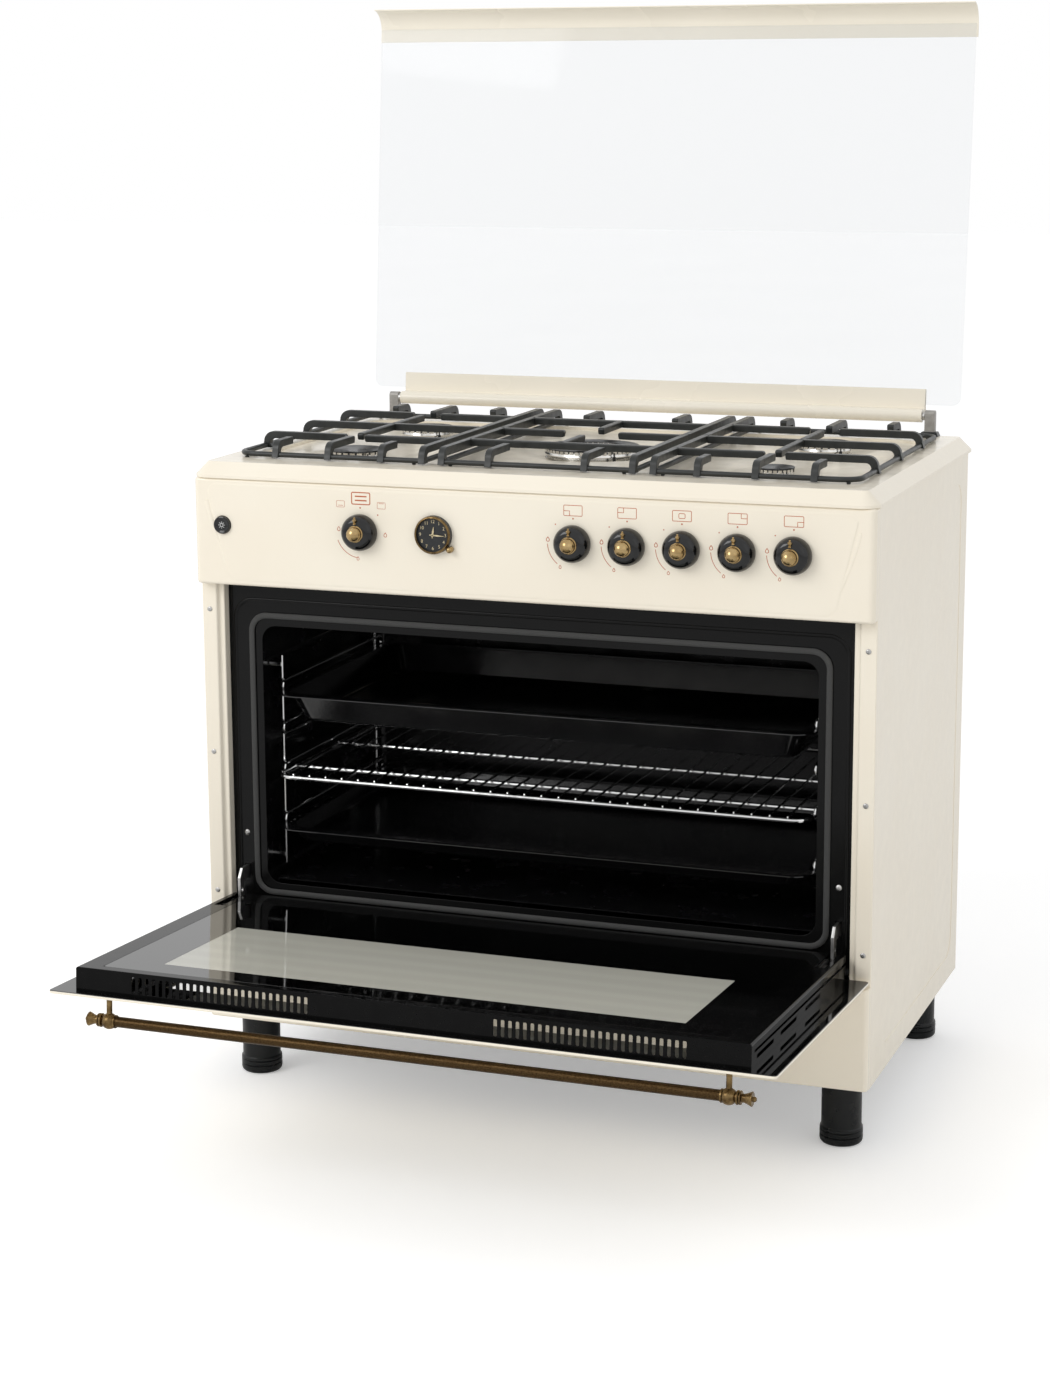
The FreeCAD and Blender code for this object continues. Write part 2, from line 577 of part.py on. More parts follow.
def lid():
    """Glass, nose rail and rolled bottom rail, drawn closed: the axis is the origin, the front is -y."""
    glass = block("lid_pane", ("-lid_half", "-lid_reach + lid_nose - 4", "lid_offset"),
                  ("lid_half * 2", "lid_reach - lid_nose + 4 - 14", "lid_glass"))
    glass = rounded("lid_pane_round", glass, 12, lambda e: along(e, Z_AXIS) and e.CenterOfMass.y > -100)
    holder = group("lid_pane_hold", [glass])
    keep("lid_glass", lid_seat(holder))

    wall = 1.6
    nose = size("lid_nose")
    reach = size("lid_reach")
    high = size("lid_offset") + size("lid_glass") + 0.3
    edges = []
    top = Vector(0, -reach + nose, high + wall)
    edges.append(Part.LineSegment(Vector(0, -reach + nose + 14, high + wall), top).toShape())
    turn = math.sqrt(0.5)
    edges.append(Part.Arc(top, Vector(0, -reach + nose - nose * turn, high + wall - nose + nose * turn),
                          Vector(0, -reach, high + wall - nose)).toShape())
    edges.append(Part.LineSegment(Vector(0, -reach, high + wall - nose), Vector(0, -reach + wall, high + wall - nose)).toShape())
    small = nose - wall
    edges.append(Part.Arc(Vector(0, -reach + wall, high + wall - nose),
                          Vector(0, -reach + nose - small * turn, high + wall - nose + small * turn),
                          Vector(0, -reach + nose, high)).toShape())
    edges.append(Part.LineSegment(Vector(0, -reach + nose, high), Vector(0, -reach + nose + 14, high)).toShape())
    edges.append(Part.LineSegment(Vector(0, -reach + nose + 14, high),
                                  Vector(0, -reach + nose + 14, high + wall)).toShape())
    profile = Part.Wire(edges)
    profile.translate(Vector(-size("lid_half") - 2, 0, 0))
    rail = Part.Face(profile).extrude(Vector(size("lid_half") * 2 + 4, 0, 0))
    keep("lid_top_rail", lid_seat(group("lid_top_rail", [feature("lid_rail_form", rail)])))

    strip = block("lid_strip_flat", ("-lid_roll_half", "-lid_strip", "lid_offset + lid_glass + 0.3"),
                  ("lid_roll_half * 2", "lid_strip - 2", "1.6"))
    under = block("lid_strip_under", ("-lid_roll_half", "-lid_strip", "lid_offset - 0.3 - 1.6"),
                  ("lid_roll_half * 2", "lid_strip - 2", "1.6"))
    web = block("lid_strip_web", ("-lid_roll_half", "-lid_roll - 2", "0"),
                ("lid_roll_half * 2", "6", "lid_offset"))
    heel = block("lid_strip_heel", ("-lid_roll_half", "-4", "lid_offset - 1.9"),
                 ("lid_roll_half * 2", "2", "lid_glass + 3.8"))
    roll = rod("lid_roll_bar", ("-lid_roll_half", "0", "0"), "lid_roll", "lid_roll_half * 2", "x")
    bore = rod("lid_roll_bore", ("-lid_roll_half - 1", "0", "0"), "lid_pin + 0.05", "lid_roll_half * 2 + 2", "x")
    keep("lid_bottom_rail", lid_seat(cut("lid_bottom_rail", fuse("lid_rail_body", [strip, under, web, heel, roll]),
                                         [bore])))


def lid_hinge(side):
    """A hinge post on a foot, with the pin that the rolled rail turns on."""
    name = "lid_hinge_left" if side < 0 else "lid_hinge_right"
    inner = "(lid_roll_half + post_gap)"
    low_x = inner if side > 0 else "-%s - post_width" % inner
    level = "panel_top + hob_rise"
    foot = block(name + "_foot", (low_x + " - 6", depth("lid_axis_y - foot_depth + post_depth / 2 + 1"), level),
                 ("post_width + 12", "foot_depth", "6"))
    post = block(name + "_post", (low_x, depth("lid_axis_y - post_depth / 2"), level + " + 5"),
                 ("post_width", "post_depth", "lid_axis_z - (%s) - 5 + post_head" % level))
    pin_x = low_x + " - post_gap - 24" if side > 0 else low_x + " + post_width - 1"
    pin = prism(name + "_pin", (pin_x, depth("lid_axis_y"), "lid_axis_z"), "lid_pin", "post_gap + 25", "x", 16)
    keep(name, fuse(name, [foot, post, pin]))


# ---------------------------------------------------------------- oven

def oven():
    """Front frame, liner, gasket, floor plate, burners, lamp and shelf ladders."""
    width = "body_width / 2 - stile_width - seat_gap"
    plate = block("frame_plate", ("-(%s)" % width, depth("frame_setback"), "frame_bottom"),
                  ("(%s) * 2" % width, "frame_wall", "frame_top - frame_bottom"))
    hole = block("frame_hole", ("-opening_half", depth("frame_setback - 1"), "opening_bottom"),
                 ("opening_half * 2", "frame_wall + 2", "opening_top - opening_bottom"))
    hole = rounded("frame_hole_round", hole, size("opening_corner"), lambda e: along(e, Y_AXIS))
    press = block("frame_press", ("-frame_emboss_half", depth("frame_setback - 1"), "gasket_bottom - 18"),
                  ("frame_emboss_half * 2", "1 + press_depth", "gasket_top - gasket_bottom + 36"))
    press = rounded("frame_press_round", press, size("gasket_corner"), lambda e: along(e, Y_AXIS))
    slots = []
    for x in ("claw_x", "claw_x * -1"):
        slots.append(block("claw_hole", (x + " - claw_wall", depth("frame_setback - 1"),
                                         "pivot_z + claw_reach - 20 - seat_gap"),
                           ("claw_wall * 2", "frame_wall + 2", "18 + seat_gap * 2")))
    keep("oven_front_frame", cut("oven_front_frame", plate, [hole, press] + slots))

    outer = block("liner_outer", ("-liner_half - liner_wall", depth("frame_setback + frame_wall"),
                                  "liner_bottom - liner_wall"),
                  ("liner_half * 2 + liner_wall * 2", "liner_depth", "liner_top - liner_bottom + liner_wall * 2"))
    outer = rounded("liner_outer_round", outer, size("opening_corner"), lambda e: along(e, Y_AXIS))
    inner = block("liner_inner", ("-liner_half", depth("frame_setback + frame_wall - 1"), "liner_bottom"),
                  ("liner_half * 2", "liner_depth - liner_wall + 1", "liner_top - liner_bottom"))
    inner = rounded("liner_inner_round", inner, size("opening_corner") - size("liner_wall"),
                    lambda e: along(e, Y_AXIS))
    lamp_hole = prism("lamp_hole", ("-liner_half + 70", depth("frame_setback + liner_depth - 10"), "liner_top - 60"),
                    "24", "30", "y", 24)
    keep("oven_liner", cut("oven_liner", outer, [inner, lamp_hole]))

    ring_out = block("gasket_out", ("-gasket_half - gasket_size / 2", depth("frame_setback - gasket_stand"),
                                    "gasket_bottom - gasket_size / 2"),
                     ("gasket_half * 2 + gasket_size", "gasket_stand + press_depth",
                      "gasket_top - gasket_bottom + gasket_size"))
    ring_out = rounded("gasket_out_round", ring_out, size("gasket_corner"), lambda e: along(e, Y_AXIS))
    ring_in = block("gasket_in", ("-gasket_half + gasket_size / 2", depth("frame_setback - gasket_stand - 1"),
                                  "gasket_bottom + gasket_size / 2"),
                    ("gasket_half * 2 - gasket_size", "gasket_stand + 2",
                     "gasket_top - gasket_bottom - gasket_size"))
    ring_in = rounded("gasket_in_round", ring_in, size("gasket_corner") - size("gasket_size"),
                      lambda e: along(e, Y_AXIS))
    ring = cut("gasket_ring", ring_out, [ring_in])
    keep("door_gasket", ring)

    floor = block("floor_sheet", ("-liner_half + opening_corner", depth("frame_setback + 14"), "liner_bottom + 10"),
                  ("liner_half * 2 - opening_corner * 2", "liner_depth - 40", "1.5"))
    skirt = block("floor_skirt", ("-liner_half + opening_corner", depth("frame_setback + 14"), "liner_bottom"),
                  ("1.5", "liner_depth - 40", "10"))
    skirt_right = block("floor_skirt_right", ("liner_half - opening_corner - 1.5", depth("frame_setback + 14"), "liner_bottom"),
                        ("1.5", "liner_depth - 40", "10"))
    vents = []
    for k in range(6):
        vents.append(block("floor_vent", ("%d * 110 - 295" % k, depth("frame_setback + liner_depth - 60"),
                                          "liner_bottom + 9"), ("40", "10", "4")))
    keep("oven_floor_plate", cut("oven_floor_plate", fuse("floor_body", [floor, skirt, skirt_right]), vents))

    burner = prism("oven_burner_tube", ("-liner_half + 60", depth("frame_setback + liner_depth * 0.5"),
                                      "liner_bottom - liner_wall - 14"), "9", "liner_half * 2 - 120", "x")
    feed = prism("oven_burner_feed", ("0", depth("frame_setback + liner_depth * 0.5"),
                                    "liner_bottom - liner_wall - 14"), "7",
               "body_back - frame_setback - liner_depth * 0.5 - 60", "y")
    saddle = block("oven_burner_saddle", ("-30", depth("frame_setback + liner_depth * 0.5 - 12"),
                                          "liner_bottom - liner_wall - 14"), ("60", "24", "14"))
    keep("oven_burner", fuse("oven_burner", [burner, feed, saddle]))

    grill_z = "liner_top - 26"
    tube = prism("grill_tube", ("-liner_half + 120", depth("frame_setback + 210"), grill_z), "8",
               "liner_half * 2 - 240", "x")
    feed = prism("grill_feed", ("0", depth("frame_setback + 210"), grill_z), "7",
               "liner_depth - 210", "y")
    hanger = block("grill_hanger", ("-liner_half + 140", depth("frame_setback + 204"), grill_z),
                   ("6", "12", "26"))
    hanger_right = block("grill_hanger_right", ("liner_half - 146", depth("frame_setback + 204"), grill_z),
                         ("6", "12", "26"))
    keep("grill_burner", fuse("grill_burner", [tube, feed, hanger, hanger_right]))
    shield = extruded("grill_shield_plate", "XY_Plane", [
        ("-liner_half + 60", depth("frame_setback + 60")), ("liner_half - 60", depth("frame_setback + 60")),
        ("liner_half - 110", depth("frame_setback + 170")), ("-liner_half + 110", depth("frame_setback + 170")),
    ], "1.5", "liner_top - 24")
    tabs = []
    for x in ("-liner_half + 110", "liner_half - 126", "-8"):
        tabs.append(block("shield_tab", (x, depth("frame_setback + 100"), "liner_top - 22.5"), ("16", "20", "22.5")))
    keep("grill_shield", fuse("grill_shield", [shield] + tabs))

    lamp = prism("lamp_cover", ("-liner_half + 70", depth("frame_setback + liner_depth - 8"), "liner_top - 60"),
                 "23.7", "24", "y", 24)
    keep("oven_lamp", group("oven_lamp", [lamp]))


def wire_bar(radius, start, run, sides=8):
    """A straight wire of flat facets, for what repeats."""
    frame = Rotation(Z_AXIS, run)
    ring = []
    for i in range(sides):
        angle = 2 * math.pi * (i + 0.5) / sides
        ring.append(start + frame.multVec(Vector(radius * math.cos(angle), radius * math.sin(angle), 0)))
    return Part.Face(Part.makePolygon(ring + ring[:1])).extrude(run)


def shelf_ladder(side):
    """Chrome side rack: two uprights on wall spacers, with pairs of rungs welded to their inner faces."""
    name = "shelf_ladder_left" if side < 0 else "shelf_ladder_right"
    radius = size("rung_radius")
    rung = side * (size("tray_half") + size("seat_gap") - radius)
    post = rung + side * radius * 2
    front = FRONT + size("ladder_front")
    back = FRONT + size("ladder_back")
    low = size("liner_bottom") + 24
    high = size("top_level") + size("rung_gap") + 30
    solids = []
    for y in (front, back):
        solids.append(wire_bar(radius, Vector(post, y, low), Vector(0, 0, high - low)))
        for z in (low + 12, high - 12):
            reach = size("liner_half") - abs(post) - radius * 0.8
            solids.append(wire_bar(radius * 1.6, Vector(post + side * radius * 0.8, y, z), Vector(side * reach, 0, 0)))
    middle = (size("rack_level") + size("top_level")) / 2
    for level in (size("low_level"), size("rack_level"), middle, size("top_level")):
        for z in (level - radius - size("seat_gap"), level - radius - size("seat_gap") + size("rung_gap")):
            solids.append(wire_bar(radius, Vector(rung, front - 12, z), Vector(0, back - front + 24, 0)))
    keep(name, feature(name, Part.makeCompound(solids)))


# ---------------------------------------------------------------- trays

def rounded_ring(half, low_y, high_y, level, corner):
    """A level rectangle with round corners, symmetric about x = 0."""
    turn = corner * (1 - math.sqrt(0.5))
    spots = [(-half + corner, low_y), (half - corner, low_y), (half - turn, low_y + turn), (half, low_y + corner),
             (half, high_y - corner), (half - turn, high_y - turn), (half - corner, high_y),
             (-half + corner, high_y), (-half + turn, high_y - turn), (-half, high_y - corner),
             (-half, low_y + corner), (-half + turn, low_y + turn)]
    corners = [Vector(x, y, level) for x, y in spots]
    edges = []
    for line in (0, 3, 6, 9):
        edges.append(Part.LineSegment(corners[line], corners[line + 1]).toShape())
        edges.append(Part.Arc(corners[line + 1], corners[line + 2], corners[(line + 3) % 12]).toShape())
    return Part.Wire(edges)


def rounded_slab(half, low_y, high_y, low_z, high_z, corner, inset=0.0, foot_inset=0.0):
    """A slab with round upright corners whose foot may be drawn in."""
    foot = rounded_ring(half - foot_inset, low_y + foot_inset, high_y - foot_inset, low_z,
                        max(corner - foot_inset, 4))
    head = rounded_ring(half - inset, low_y + inset, high_y - inset, high_z, max(corner - inset, 4))
    return Part.makeLoft([foot, head], True, True)


def tray(name, level, deep, slotted):
    """A pressed tray: flat rim on the rungs, sloped walls and a rounded floor."""
    half = size("tray_half")
    front = FRONT + size("tray_front")
    back = front + size("tray_depth")
    wall = size("tray_wall")
    rim = size("tray_rim")
    corner = size("tray_corner")
    top = level + wall
    rim_plate = rounded_slab(half, front, back, level, top, corner)
    pan = rounded_slab(half, front, back, level - deep, top, corner + rim, rim, rim + deep * 0.35)
    hollow = rounded_slab(half, front, back, level - deep + wall, top + 0.01, corner + rim,
                          rim + wall, rim + wall + deep * 0.35)
    solid = rim_plate.fuse(pan).cut(hollow)
    if slotted:
        for side in (-1, 1):
            for k in range(3):
                y = front + 34 + k * 52
                slot = Part.makeBox(rim - 5, 34, wall * 4, Vector(side * (half - rim / 2) - (rim - 5) / 2, y,
                                                                  level - wall))
                solid = solid.cut(slot)
    keep(name, feature(name, solid.removeSplitter()))


def wire_rack():
    """A chrome rack: a bent border rod, cross rods and many fore-and-aft wires welded on top of them."""
    border = size("rack_rod")
    wire = size("rack_wire")
    half = size("tray_half") - border
    front = FRONT + size("tray_front") + border
    back = front + size("tray_depth") - 2 * border
    level = size("rack_level") + border
    ring = rounded_ring(half, front, back, level, size("tray_corner"))
    solids = [square_along(ring, border)]
    count = int(size("rack_wires"))
    pitch = (half * 2 - size("tray_corner") * 2) / (count - 1)
    for i in range(count):
        x = -half + size("tray_corner") + i * pitch
        solids.append(wire_bar(wire, Vector(x, front, level + border + wire), Vector(0, back - front, 0), 6))
    for y in (front + size("tray_depth") * 0.16, front + size("tray_depth") * 0.54):
        solids.append(wire_bar(border, Vector(-half + border, y, level), Vector((half - border) * 2, 0, 0)))
    keep("wire_rack", feature("wire_rack", Part.makeCompound(solids)))


# ---------------------------------------------------------------- door

def door_seat(thing):
    """Turn a door piece, drawn shut about the pivot, to its open place."""
    return seat(thing, ("0", depth("pivot_y"), "pivot_z"), X_AXIS, "door_open")


def door():
    """Outer glass, slotted inner box, inner glass and handle, drawn shut: the pivot is the origin."""
    pane = block("outer_pane", ("-door_half", "-door_face", "1"),
                 ("door_half * 2", "door_glass", "door_top - 1"))
    pane = rounded("outer_pane_round", pane, 5, lambda e: along(e, Y_AXIS))
    keep("door_outer_glass", door_seat(group("door_outer_glass", [pane])))

    inside = "-door_face + door_glass"
    shell = block("box_shell", ("-door_box_half", inside, "-door_box_low"),
                  ("door_box_half * 2", "door_box", "door_box_top + door_box_low"))
    shell = rounded("box_round", shell, 3, lambda e: along(e, Z_AXIS) and e.CenterOfMass.y > 0)
    room = block("box_room", ("-door_box_half + door_box_wall", inside + " - 1", "-door_box_low + door_box_wall"),
                 ("door_box_half * 2 - door_box_wall * 2", "door_box - door_box_wall + 1",
                  "door_box_top + door_box_low - door_box_wall * 2"))
    window = block("box_window", ("-inner_glass_half + 16", "-door_face", "inner_glass_low + 16"),
                   ("inner_glass_half * 2 - 32", "60", "inner_glass_high - inner_glass_low - 32"))
    seat_cut = block("box_rebate", ("-inner_glass_half - seat_gap", inside + " + door_box - glass_rebate",
                                    "inner_glass_low - seat_gap"),
                     ("(inner_glass_half + seat_gap) * 2", "glass_rebate + 1",
                      "inner_glass_high - inner_glass_low + seat_gap * 2"))
    tools = [room, window, seat_cut]
    for x in ("claw_x", "claw_x * -1"):
        tools.append(block("claw_way", (x + " - claw_slot / 2", "-9", "-door_box_low - 1"), ("claw_slot", "49", "claw_reach + 20")))
    for side in (-1, 1):
        for z in ("150", "300"):
            tools.append(block("box_side_slot", ("%d * door_box_half - 3" % side, inside + " + 8", z),
                               ("6", "6", "90")))
    pitch = (size("vent_outer") - size("vent_inner") - size("vent_width")) / (size("vent_count") - 1)
    for side in (-1, 1):
        for k in range(int(size("vent_count"))):
            x = "%d * (vent_inner + vent_width / 2 + %d * (vent_outer - vent_inner - vent_width)" % (side, k)
            tools.append(block("vent_slot", (x + " / (vent_count - 1)) - vent_width / 2", inside + " + 4",
                                             "door_box_top - 4"), ("vent_width", "vent_height", "8")))
    if pitch < size("vent_width"):
        raise ValueError("the vent slots run into each other")
    box = cut("door_inner_box", shell, tools)
    keep("door_inner_box", door_seat(box))

    glass = block("inner_pane", ("-inner_glass_half", inside + " + door_box - glass_rebate", "inner_glass_low"),
                  ("inner_glass_half * 2", "glass_rebate", "inner_glass_high - inner_glass_low"))
    keep("door_inner_glass", door_seat(group("door_inner_glass", [glass])))

    y = "-door_face - handle_standoff"
    bar = rod("handle_rod", ("-handle_x + handle_ball * 0.6", y, "handle_height"), "handle_radius",
              "handle_x * 2 - handle_ball * 1.2", "x")
    keep("door_handle_bar", door_seat(group("door_handle_bar", [bar])))
    mounts = []
    for side in (-1, 1):
        x = "%d * handle_x" % side
        stem = prism("handle_stem", (x, y, "handle_height"), "handle_post", "handle_standoff", "y")
        collar = prism("handle_collar", (x, y + " + handle_standoff - 4", "handle_height"), "handle_post * 1.8",
                       "4", "y")
        end = size("handle_ball")
        tip = size("finial_length")
        profile = [(0, -end * 0.95), (end * 0.7, -end * 0.7), (end, 0), (end * 0.7, end * 0.7),
                   (end * 0.5, end), (end * 0.75, end + tip * 0.5), (0, end + tip)]
        form = feature("handle_end_form", faceted(profile))
        finial = seat(group("handle_end", [form]), (x, y, "handle_height"), Y_AXIS, "%d * 90" % side)
        bore = rod("handle_bore", ("-handle_x + handle_ball * 0.6", y, "handle_height"), "handle_radius",
                   "handle_x * 2 - handle_ball * 1.2", "x")
        mounts.append(cut("handle_mount_%d" % side, fuse("handle_mount_body", [stem, finial, collar]), [bore]))
    keep("door_handle_posts", door_seat(group("door_handle_posts", mounts)))

    pins = []
    for side in (-1, 1):
        pins.append(prism("door_pin", ("%d * claw_x - claw_slot / 2 - 6" % side, "0", "0"), "3",
                          "claw_slot + 12", "x", 16))
    blocks = []
    for side in (-1, 1):
        for shift in ("-claw_slot / 2 - 4", "claw_slot / 2"):
            cheek = block("pin_cheek", ("%d * claw_x + %s" % (side, shift), "-8", "-2"), ("4", "20", "90"))
            blocks.append(cheek)
    keep("door_hinge_bodies", door_seat(fuse("door_hinge_bodies", pins + blocks)))


def hinge_claws():
    """Fixed steel claws that hook through the frame and carry the door's pins."""
    claws = []
    for side in (-1, 1):
        claw = extruded("claw_%d" % side, "YZ_Plane", [
            (depth("pivot_y - 6"), "pivot_z - 5"), (depth("pivot_y + 6"), "pivot_z - 5"),
            (depth("pivot_y + 7"), "pivot_z + claw_reach - 20"),
            (depth("frame_setback + frame_wall + seat_gap"), "pivot_z + claw_reach - 20"),
            (depth("frame_setback + frame_wall + seat_gap"), "pivot_z + claw_reach - 26"),
            (depth("frame_setback + frame_wall + 12"), "pivot_z + claw_reach - 26"),
            (depth("frame_setback + frame_wall + 12"), "pivot_z + claw_reach - 2"),
            (depth("pivot_y + 2"), "pivot_z + claw_reach - 2"), (depth("pivot_y - 6"), "pivot_z + claw_reach - 14"),
        ], "claw_wall", "%d * claw_x - claw_wall / 2" % side)
        bore = rod("claw_bore", ("%d * claw_x - claw_wall" % side, depth("pivot_y"), "pivot_z"), "3.04",
                   "claw_wall * 2", "x")
        claws.append(cut("claw_cut_%d" % side, claw, [bore]))
    keep("door_hinge_claws", group("door_hinge_claws", claws))


# ---------------------------------------------------------------- knobs, clock and gas train

def knob(name, x):
    """A domed black skirt with a brass cap, bored for the tap spindle."""
    low = size("knob_gap") + size("panel_field")
    high = size("knob_depth")
    reach = size("knob_radius")
    cap = size("knob_cap")
    skirt = [(0, low), (reach, low), (reach, low + 4), (cap + 2, high), (0, high)]
    crown = [(0, high), (cap, high), (cap, high + 4), (cap - 4, high + 10), (0, high + 12)]
    form = turned_facets(name, skirt, (x, depth("0"), "knob_z"))
    bore = rod(name + "_bore", (x, depth("4 - knob_depth"), "knob_z"), "spindle_radius + 0.06", "knob_depth", "y")
    keep(name, cut(name, form, [bore]))
    keep(name + "_cap", turned_facets(name + "_cap", crown, (x, depth("0"), "knob_z"), 20))


KNOBS = ["oven_knob_x"] + ["knob_first_x + %d * knob_pitch" % i for i in range(5)]


def gas_train():
    """The manifold pipe, one tap behind each knob with its spindle, and the rear inlet."""
    pipe = prism("manifold_pipe", ("oven_knob_x - 40", depth("frame_setback + 22"), "knob_z - 28"), "8",
                 "inlet_x + 8 - oven_knob_x + 40", "x")
    branch = prism("manifold_branch", ("inlet_x", depth("frame_setback + 22"), "knob_z - 28"), "8",
                   "body_back - inlet_length - frame_setback - 22", "y")
    rise = prism("inlet_rise", ("inlet_x", depth("body_back - inlet_length"), "knob_z - 36"), "8",
                 "inlet_z - knob_z + 44")
    spigot = rod("inlet_spigot", ("inlet_x", depth("body_back - inlet_length / 4"), "inlet_z"), "inlet_radius",
                 "inlet_length", "y")
    neck = prism("inlet_neck", ("inlet_x", depth("body_back - inlet_length"), "inlet_z"), "8",
                 "inlet_length", "y")
    keep("gas_manifold", fuse("gas_manifold", [pipe, branch, rise, neck, spigot]))
    taps = []
    for x in KNOBS:
        valve = prism("tap_barrel", (x, depth("body_setback + 2"), "knob_z"), "11", "34", "y")
        drop = block("tap_saddle", (x + " - 7", depth("frame_setback + 14"), "knob_z - 20.1"), ("14", "16", "20"))
        stem = prism("tap_spindle", (x, depth("4.1 - knob_depth"), "knob_z"), "spindle_radius",
                     "body_setback + knob_depth - 1", "y")
        nose = prism("tap_nose", (x, depth("panel_wall + seat_gap"), "knob_z"), "7", "body_setback", "y")
        taps.append(fuse("tap", [valve, drop, stem, nose]))
    keep("gas_taps", group("gas_taps", taps))


def clock():
    """A round clock with two hands and a setting knob."""
    low = size("panel_field")
    high = low + size("clock_depth")
    rim = size("clock_radius")
    case = [(0, high - 6), (2.1, high - 6), (2.1, high - 4), (rim - 4, high - 4), (rim - 4, high), (rim - 2, high),
            (rim, high - 3), (rim, low), (0, low)]
    keep("clock_case", turned_facets("clock_case", case, ("clock_x", depth("0"), "clock_z"), 32))
    for name, reach, level in (("clock_hour_hand", 10.5, 0.3), ("clock_minute_hand", 15.5, 1.2)):
        blade = extruded(name + "_blade", "XY_Plane", [
            ("-0.9", "-3.5"), ("0.9", "-3.5"), ("1.1", "0"), ("0.3", str(reach)), ("-0.3", str(reach)), ("-1.1", "0")],
            "0.5", "panel_field + clock_depth - 4 + %s" % level)
        boss = rod(name + "_boss", ("0", "0", "panel_field + clock_depth - 4 + %s" % level), "1.9", "0.5")
        whole = fuse(name + "_form", [blade, boss])
        if name == "clock_hour_hand":
            pin = rod("hour_arbor", ("0", "0", "panel_field + clock_depth - 5.9"), "1.95", "5.9 - 4 + 0.3")
            whole = fuse("hour_form", [whole, pin])
        turn = group(name + "_turn", [whole])
        turn.Placement = Placement(Vector(), Rotation(Z_AXIS, -8 if name == "clock_hour_hand" else -93))
        holder = group(name, [turn])
        seat(holder, ("clock_x", depth("0"), "clock_z"), X_AXIS, "90")
        keep(name, holder)
    setter = [(0, low + 1), (4.2, low + 1), (4.2, low + 9), (3, low + 11), (0, low + 11)]
    grip = turned_facets("set_grip", setter, ("set_x", depth("0"), "set_z"), 16)
    shaft = rod("set_shaft", ("set_x", depth("-panel_field - 2"), "set_z"), "2.4", "panel_field + 8", "y")
    keep("clock_set_knob", fuse("clock_set_knob", [grip, shaft]))


def light_button():
    """A round push button that travels into the fascia."""
    reach = size("button_radius")
    low = size("panel_field")
    form = [(0, -9), (reach, -9), (reach, low + 2), (reach - 2, low + 4.5), (0, low + 3.6)]
    keep("light_button", turned_facets("light_button", form, ("button_x", depth("0"), "knob_z")))
    switch = block("switch_box", ("button_x - 9", depth("9 + button_travel + 1"), "knob_z - 9"), ("18", "24", "18"))
    strap = block("switch_strap", ("button_x - 14", depth("9 + button_travel + 1"), "knob_z + 9"),
                  ("28", "1.5", "panel_top - panel_wall - knob_z - 9"))
    keep("light_switch", fuse("light_switch", [switch, strap]))


def legs():
    """Four black legs with grooved feet."""
    names = [("leg_front_left", -1, "leg_front_y"), ("leg_front_right", 1, "leg_front_y"),
             ("leg_back_left", -1, "leg_back_y"), ("leg_back_right", 1, "leg_back_y")]
    solids = []
    foot = size("foot_radius")
    leg = size("leg_radius")
    high = size("foot_height")
    profile = [(0, 0), (foot - 4, 0), (foot, 5), (foot, 11), (foot - 1.5, 12), (foot, 13), (foot, high),
               (leg, high + 1.5), (leg, size("leg_height")), (0, size("leg_height"))]
    for name, side, y in names:
        form = feature(name + "_form", faceted(profile, 20))
        solids.append(seat(group(name, [form]), ("%d * leg_x" % side, depth(y), "0")))
    keep("legs", group("legs", solids))


def screws():
    """Domed screws on the stiles and the frame."""
    heads = []
    for side in (-1, 1):
        for z in ("262.5", "452", "643.5"):
            heads.append(prism("stile_screw", ("%d * (body_width / 2 - 10.5)" % side, depth("body_setback - 1.6"), z),
                             "3.4", "1.6", "y"))
        heads.append(prism("frame_screw", ("%d * claw_x" % side, depth("frame_setback - 1.4"), "340"), "4",
                         "1.9", "y"))
    keep("panel_screws", group("panel_screws", heads))


side_panel(-1)
side_panel(1)
sheet_panels()
control_panel()
hob_plate()
burner_parts()
pan_supports()
lid()
lid_hinge(-1)
lid_hinge(1)
oven()
shelf_ladder(-1)
shelf_ladder(1)
tray("top_tray", size("top_level"), size("deep_tray"), False)
tray("lower_tray", size("low_level"), size("shallow_tray"), True)
wire_rack()
door()
hinge_claws()
for label, place in zip(["oven_knob"] + ["burner_knob_%d" % i for i in range(1, 6)], KNOBS):
    knob(label, place)
gas_train()
clock()
light_button()
legs()
screws()

doc.recompute()
faults = [thing.Label for thing in doc.Objects if "Invalid" in thing.State or "Error" in thing.State]
if faults:
    raise RuntimeError("objects that failed: " + ", ".join(faults))
os.makedirs("parts", exist_ok=True)
total = FreeCAD.BoundBox()
for thing in PARTS:
    shape = thing.Shape
    if shape.isNull() or not shape.isValid() or not shape.Solids:
        raise RuntimeError("no valid solid in " + thing.Label)
    shape.exportStep("parts/%s.step" % thing.Label)
    total.add(shape.BoundBox)
print("%d sub-parts, box x %.1f to %.1f, y %.1f to %.1f, z %.1f to %.1f" % (
    len(PARTS), total.XMin, total.XMax, total.YMin, total.YMax, total.ZMin, total.ZMax))
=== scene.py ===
# Dresses a packed range cooker: enamel, glass, castings, trays, knobs, clock, floor, light and camera.
# Shapes are drawn in millimetres about a handy point, then seated in metres where the frame says.
import json
import math

